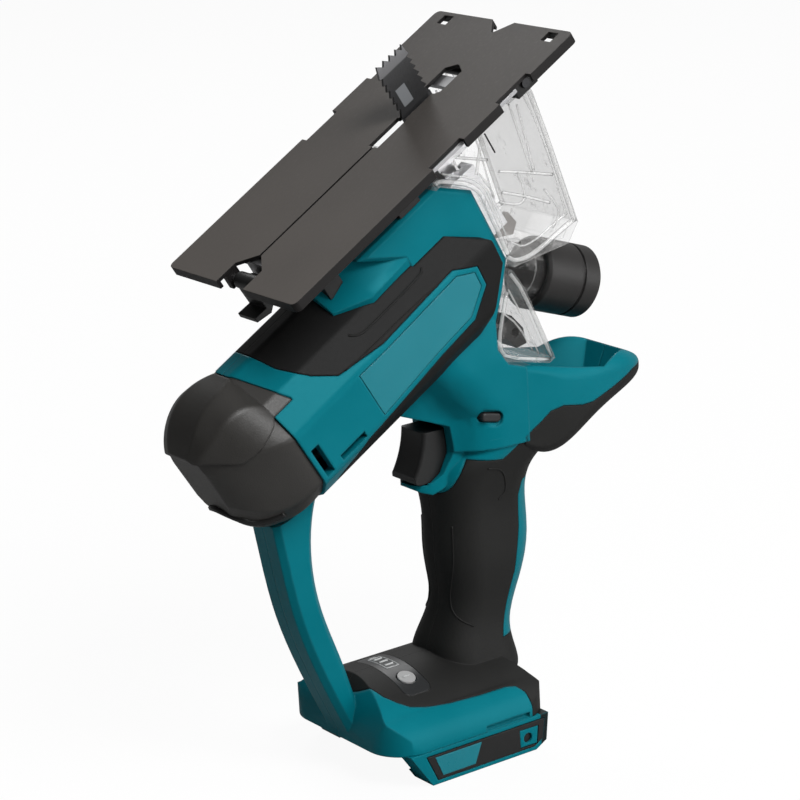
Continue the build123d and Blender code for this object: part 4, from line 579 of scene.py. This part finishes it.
def clear_edges():
    """Thick edges and ribs of the clear case and of the lower cover."""
    # In the deck frame: radius, y, then u and n
    case = {
        "edge": (1.0, 23.0, [(138.6, -9), (138.6, -18), (136.6, -32), (134.2, -44), (127.8, -74.6)]),
        "edge_rib": (0.4, 23.4, [(135.6, -12), (134.6, -31), (131.6, -48), (125.6, -69.6)]),
        "foot": (1.0, 23.0, [(94.4, -64.4), (96.4, -68.3), (104, -72), (124, -73.4), (127.6, -74)]),
        "foot_rib": (0.4, 23.4, [(98.6, -60), (102.8, -67.2), (121.7, -68.6), (126.4, -69.2)]),
        "flange": (1.0, 23.0, [(83.4, -17.6), (86, -17.8), (99, -31), (97.4, -45), (95, -63.6)]),
        "flange_rib": (0.4, 23.4, [(88, -16), (101.4, -30), (100, -45), (98, -59)]),
        "rib_one": (0.45, 23.4, [(128, -14.9), (122, -44)]),
        "rib_two": (0.45, 23.4, [(131, -17.4), (123.2, -44)]),
        "rib_three": (0.6, 23.2, [(110.7, -17), (100.6, -27.3)]),
        "bar_one": (0.6, 21.0, [(111.2, -34.9), (118, -41), (130.7, -53.2)]),
        "bar_two": (0.6, 21.0, [(107.7, -42.7), (115.9, -51.9), (123.3, -61.5)]),
        "bar_three": (0.5, 21.0, [(117.8, -41.1), (115.9, -51.9), (111.3, -52.5), (104.4, -45)]),
        "bar_four": (0.5, 21.0, [(124.3, -55.5), (126, -68.5), (118.9, -70.8)]),
    }
    # In the side view: radius, y, then X and Z
    cover = {
        "edge": (0.8, 20.7, [(41.6, 193.0), (47.6, 185), (60.6, 155.4)]),
        "foot": (0.8, 20.7, [(59.6, 154.4), (38, 159.4), (34.8, 164.4), (35.6, 172), (39.6, 186)]),
        "rib_one": (0.4, 21.0, [(40, 187), (46, 176), (54, 158)]),
        "rib_two": (0.4, 21.0, [(37, 178), (44, 172), (51, 160)]),
    }
    for side, hand in SIDES:
        for name, (size, y, path) in case.items():
            line = eased([deck(u, side * y, n) for u, n in path])
            bead(f"{hand}_case_{name}", line, size, "clear_plastic", "housing", "clear_bead")
        for name, (size, y, path) in cover.items():
            line = eased([world(x, side * y, z) for x, z in path], 1)
            bead(f"{hand}_cover_{name}", line, size, "clear_plastic", "housing", "clear_bead")
        slit = [deck(112.7, side * 23.2, -16.7), deck(112.5, side * 23.2, -26)]
        bead(f"{hand}_case_slit", slit, 0.35, "black_plastic", "housing")


rubber_lines()
cap_chin_band()
gauge_marks()
clear_edges()

FLOOR_REACH = 8.0
FLOOR_DROP = 0.0002
FLOOR_GLOW = 0.94
FLOOR_SEEN, FLOOR_BOUNCE = (0.9, 0.9, 0.9), (0.35, 0.35, 0.35)
# Light of the surroundings: dim from the end cap's side, brighter from the clear case's side
SKY_SIDES = {"From Min": -0.7, "From Max": 0.5, "To Min": 0.06, "To Max": 0.34}
LAMP_AIM = Vector((0, 0, 0.15))
# Name, place, size and power
LAMPS = (
    ("key", (0.0, -1.25, 1.55), 0.8, 30),
    ("fill", (1.0, -1.5, 0.6), 1.2, 15),
    ("rim", (0.7, 1.2, 1.4), 0.9, 11),
    ("front", (-1.5, 0.1, 0.9), 0.7, 0.4),
)


def lay_floor():
    """Pale floor that keeps the object's shadow."""
    mesh = bpy.data.meshes.new("floor")
    corners = [(-FLOOR_REACH, -FLOOR_REACH), (FLOOR_REACH, -FLOOR_REACH),
               (FLOOR_REACH, FLOOR_REACH), (-FLOOR_REACH, FLOOR_REACH)]
    mesh.from_pydata([(x, y, -FLOOR_DROP) for x, y in corners], [], [(0, 1, 2, 3)])
    floor = bpy.data.objects.new("floor", mesh)
    bpy.context.scene.collection.objects.link(floor)
    s = Shader("floor")
    rays = s.node("ShaderNodeLightPath").outputs
    s.set(Base_Color=s.mix(rays["Is Camera Ray"], FLOOR_BOUNCE, FLOOR_SEEN), Roughness=0.7)
    seen = s.math("MAXIMUM", rays["Is Camera Ray"], rays["Is Transmission Ray"])
    glow = s.node("ShaderNodeEmission")
    glow.inputs["Color"].default_value = WHITE
    both = s.node("ShaderNodeMixShader")
    s.join(s.math("MULTIPLY", seen, FLOOR_GLOW), both.inputs["Fac"])
    s.join(s.base.outputs["BSDF"], both.inputs[1])
    s.join(glow.outputs["Emission"], both.inputs[2])
    s.join(both.outputs["Shader"], s.tree.nodes["Material Output"].inputs["Surface"])
    mesh.materials.append(s.material)


def surroundings():
    """Surroundings that are white to the camera and through clear plastic, and soft light on the object."""
    sky = bpy.data.worlds.new("studio")
    bpy.context.scene.world = sky
    sky.use_nodes = True
    tree = sky.node_tree
    base = tree.nodes["Background"]
    base.inputs["Color"].default_value = WHITE
    rays = tree.nodes.new("ShaderNodeLightPath")
    seen = tree.nodes.new("ShaderNodeMath")
    seen.operation = "MAXIMUM"
    strength = tree.nodes.new("ShaderNodeMapRange")
    strength.inputs["To Max"].default_value = 1.0
    where = tree.nodes.new("ShaderNodeTexCoord")
    axes = tree.nodes.new("ShaderNodeSeparateXYZ")
    side = tree.nodes.new("ShaderNodeMapRange")
    for name, value in SKY_SIDES.items():
        side.inputs[name].default_value = value
    tree.links.new(where.outputs["Generated"], axes.inputs["Vector"])
    tree.links.new(axes.outputs["X"], side.inputs["Value"])
    tree.links.new(side.outputs["Result"], strength.inputs["To Min"])
    tree.links.new(rays.outputs["Is Camera Ray"], seen.inputs[0])
    tree.links.new(rays.outputs["Is Transmission Ray"], seen.inputs[1])
    tree.links.new(seen.outputs[0], strength.inputs["Value"])
    tree.links.new(strength.outputs["Result"], base.inputs["Strength"])


def lamps():
    """Soft studio lamps, all aimed at the middle of the object."""
    for name, place, size, power in LAMPS:
        data = bpy.data.lights.new(name, "AREA")
        data.size = size
        data.energy = power
        lamp = bpy.data.objects.new(name, data)
        lamp.location = place
        lamp.rotation_euler = (LAMP_AIM - lamp.location).to_track_quat("-Z", "Y").to_euler()
        bpy.context.scene.collection.objects.link(lamp)


def camera():
    """Camera at the photograph's viewing angle."""
    ahead = CAMERA_AHEAD.normalized()
    right = (CAMERA_RIGHT - ahead * CAMERA_RIGHT.dot(ahead)).normalized()
    up = right.cross(ahead)
    data = bpy.data.cameras.new("camera")
    data.lens = CAMERA_LENS
    data.sensor_width = CAMERA_SENSOR
    data.clip_start = CAMERA_NEAR
    view = bpy.data.objects.new("camera", data)
    turn = Matrix((right, up, -ahead)).transposed().to_4x4()
    view.matrix_world = Matrix.Translation(CAMERA_PLACE) @ turn
    bpy.context.scene.collection.objects.link(view)
    bpy.context.scene.camera = view


lay_floor()
surroundings()
lamps()
camera()
bpy.context.scene.view_settings.view_transform = "Standard"
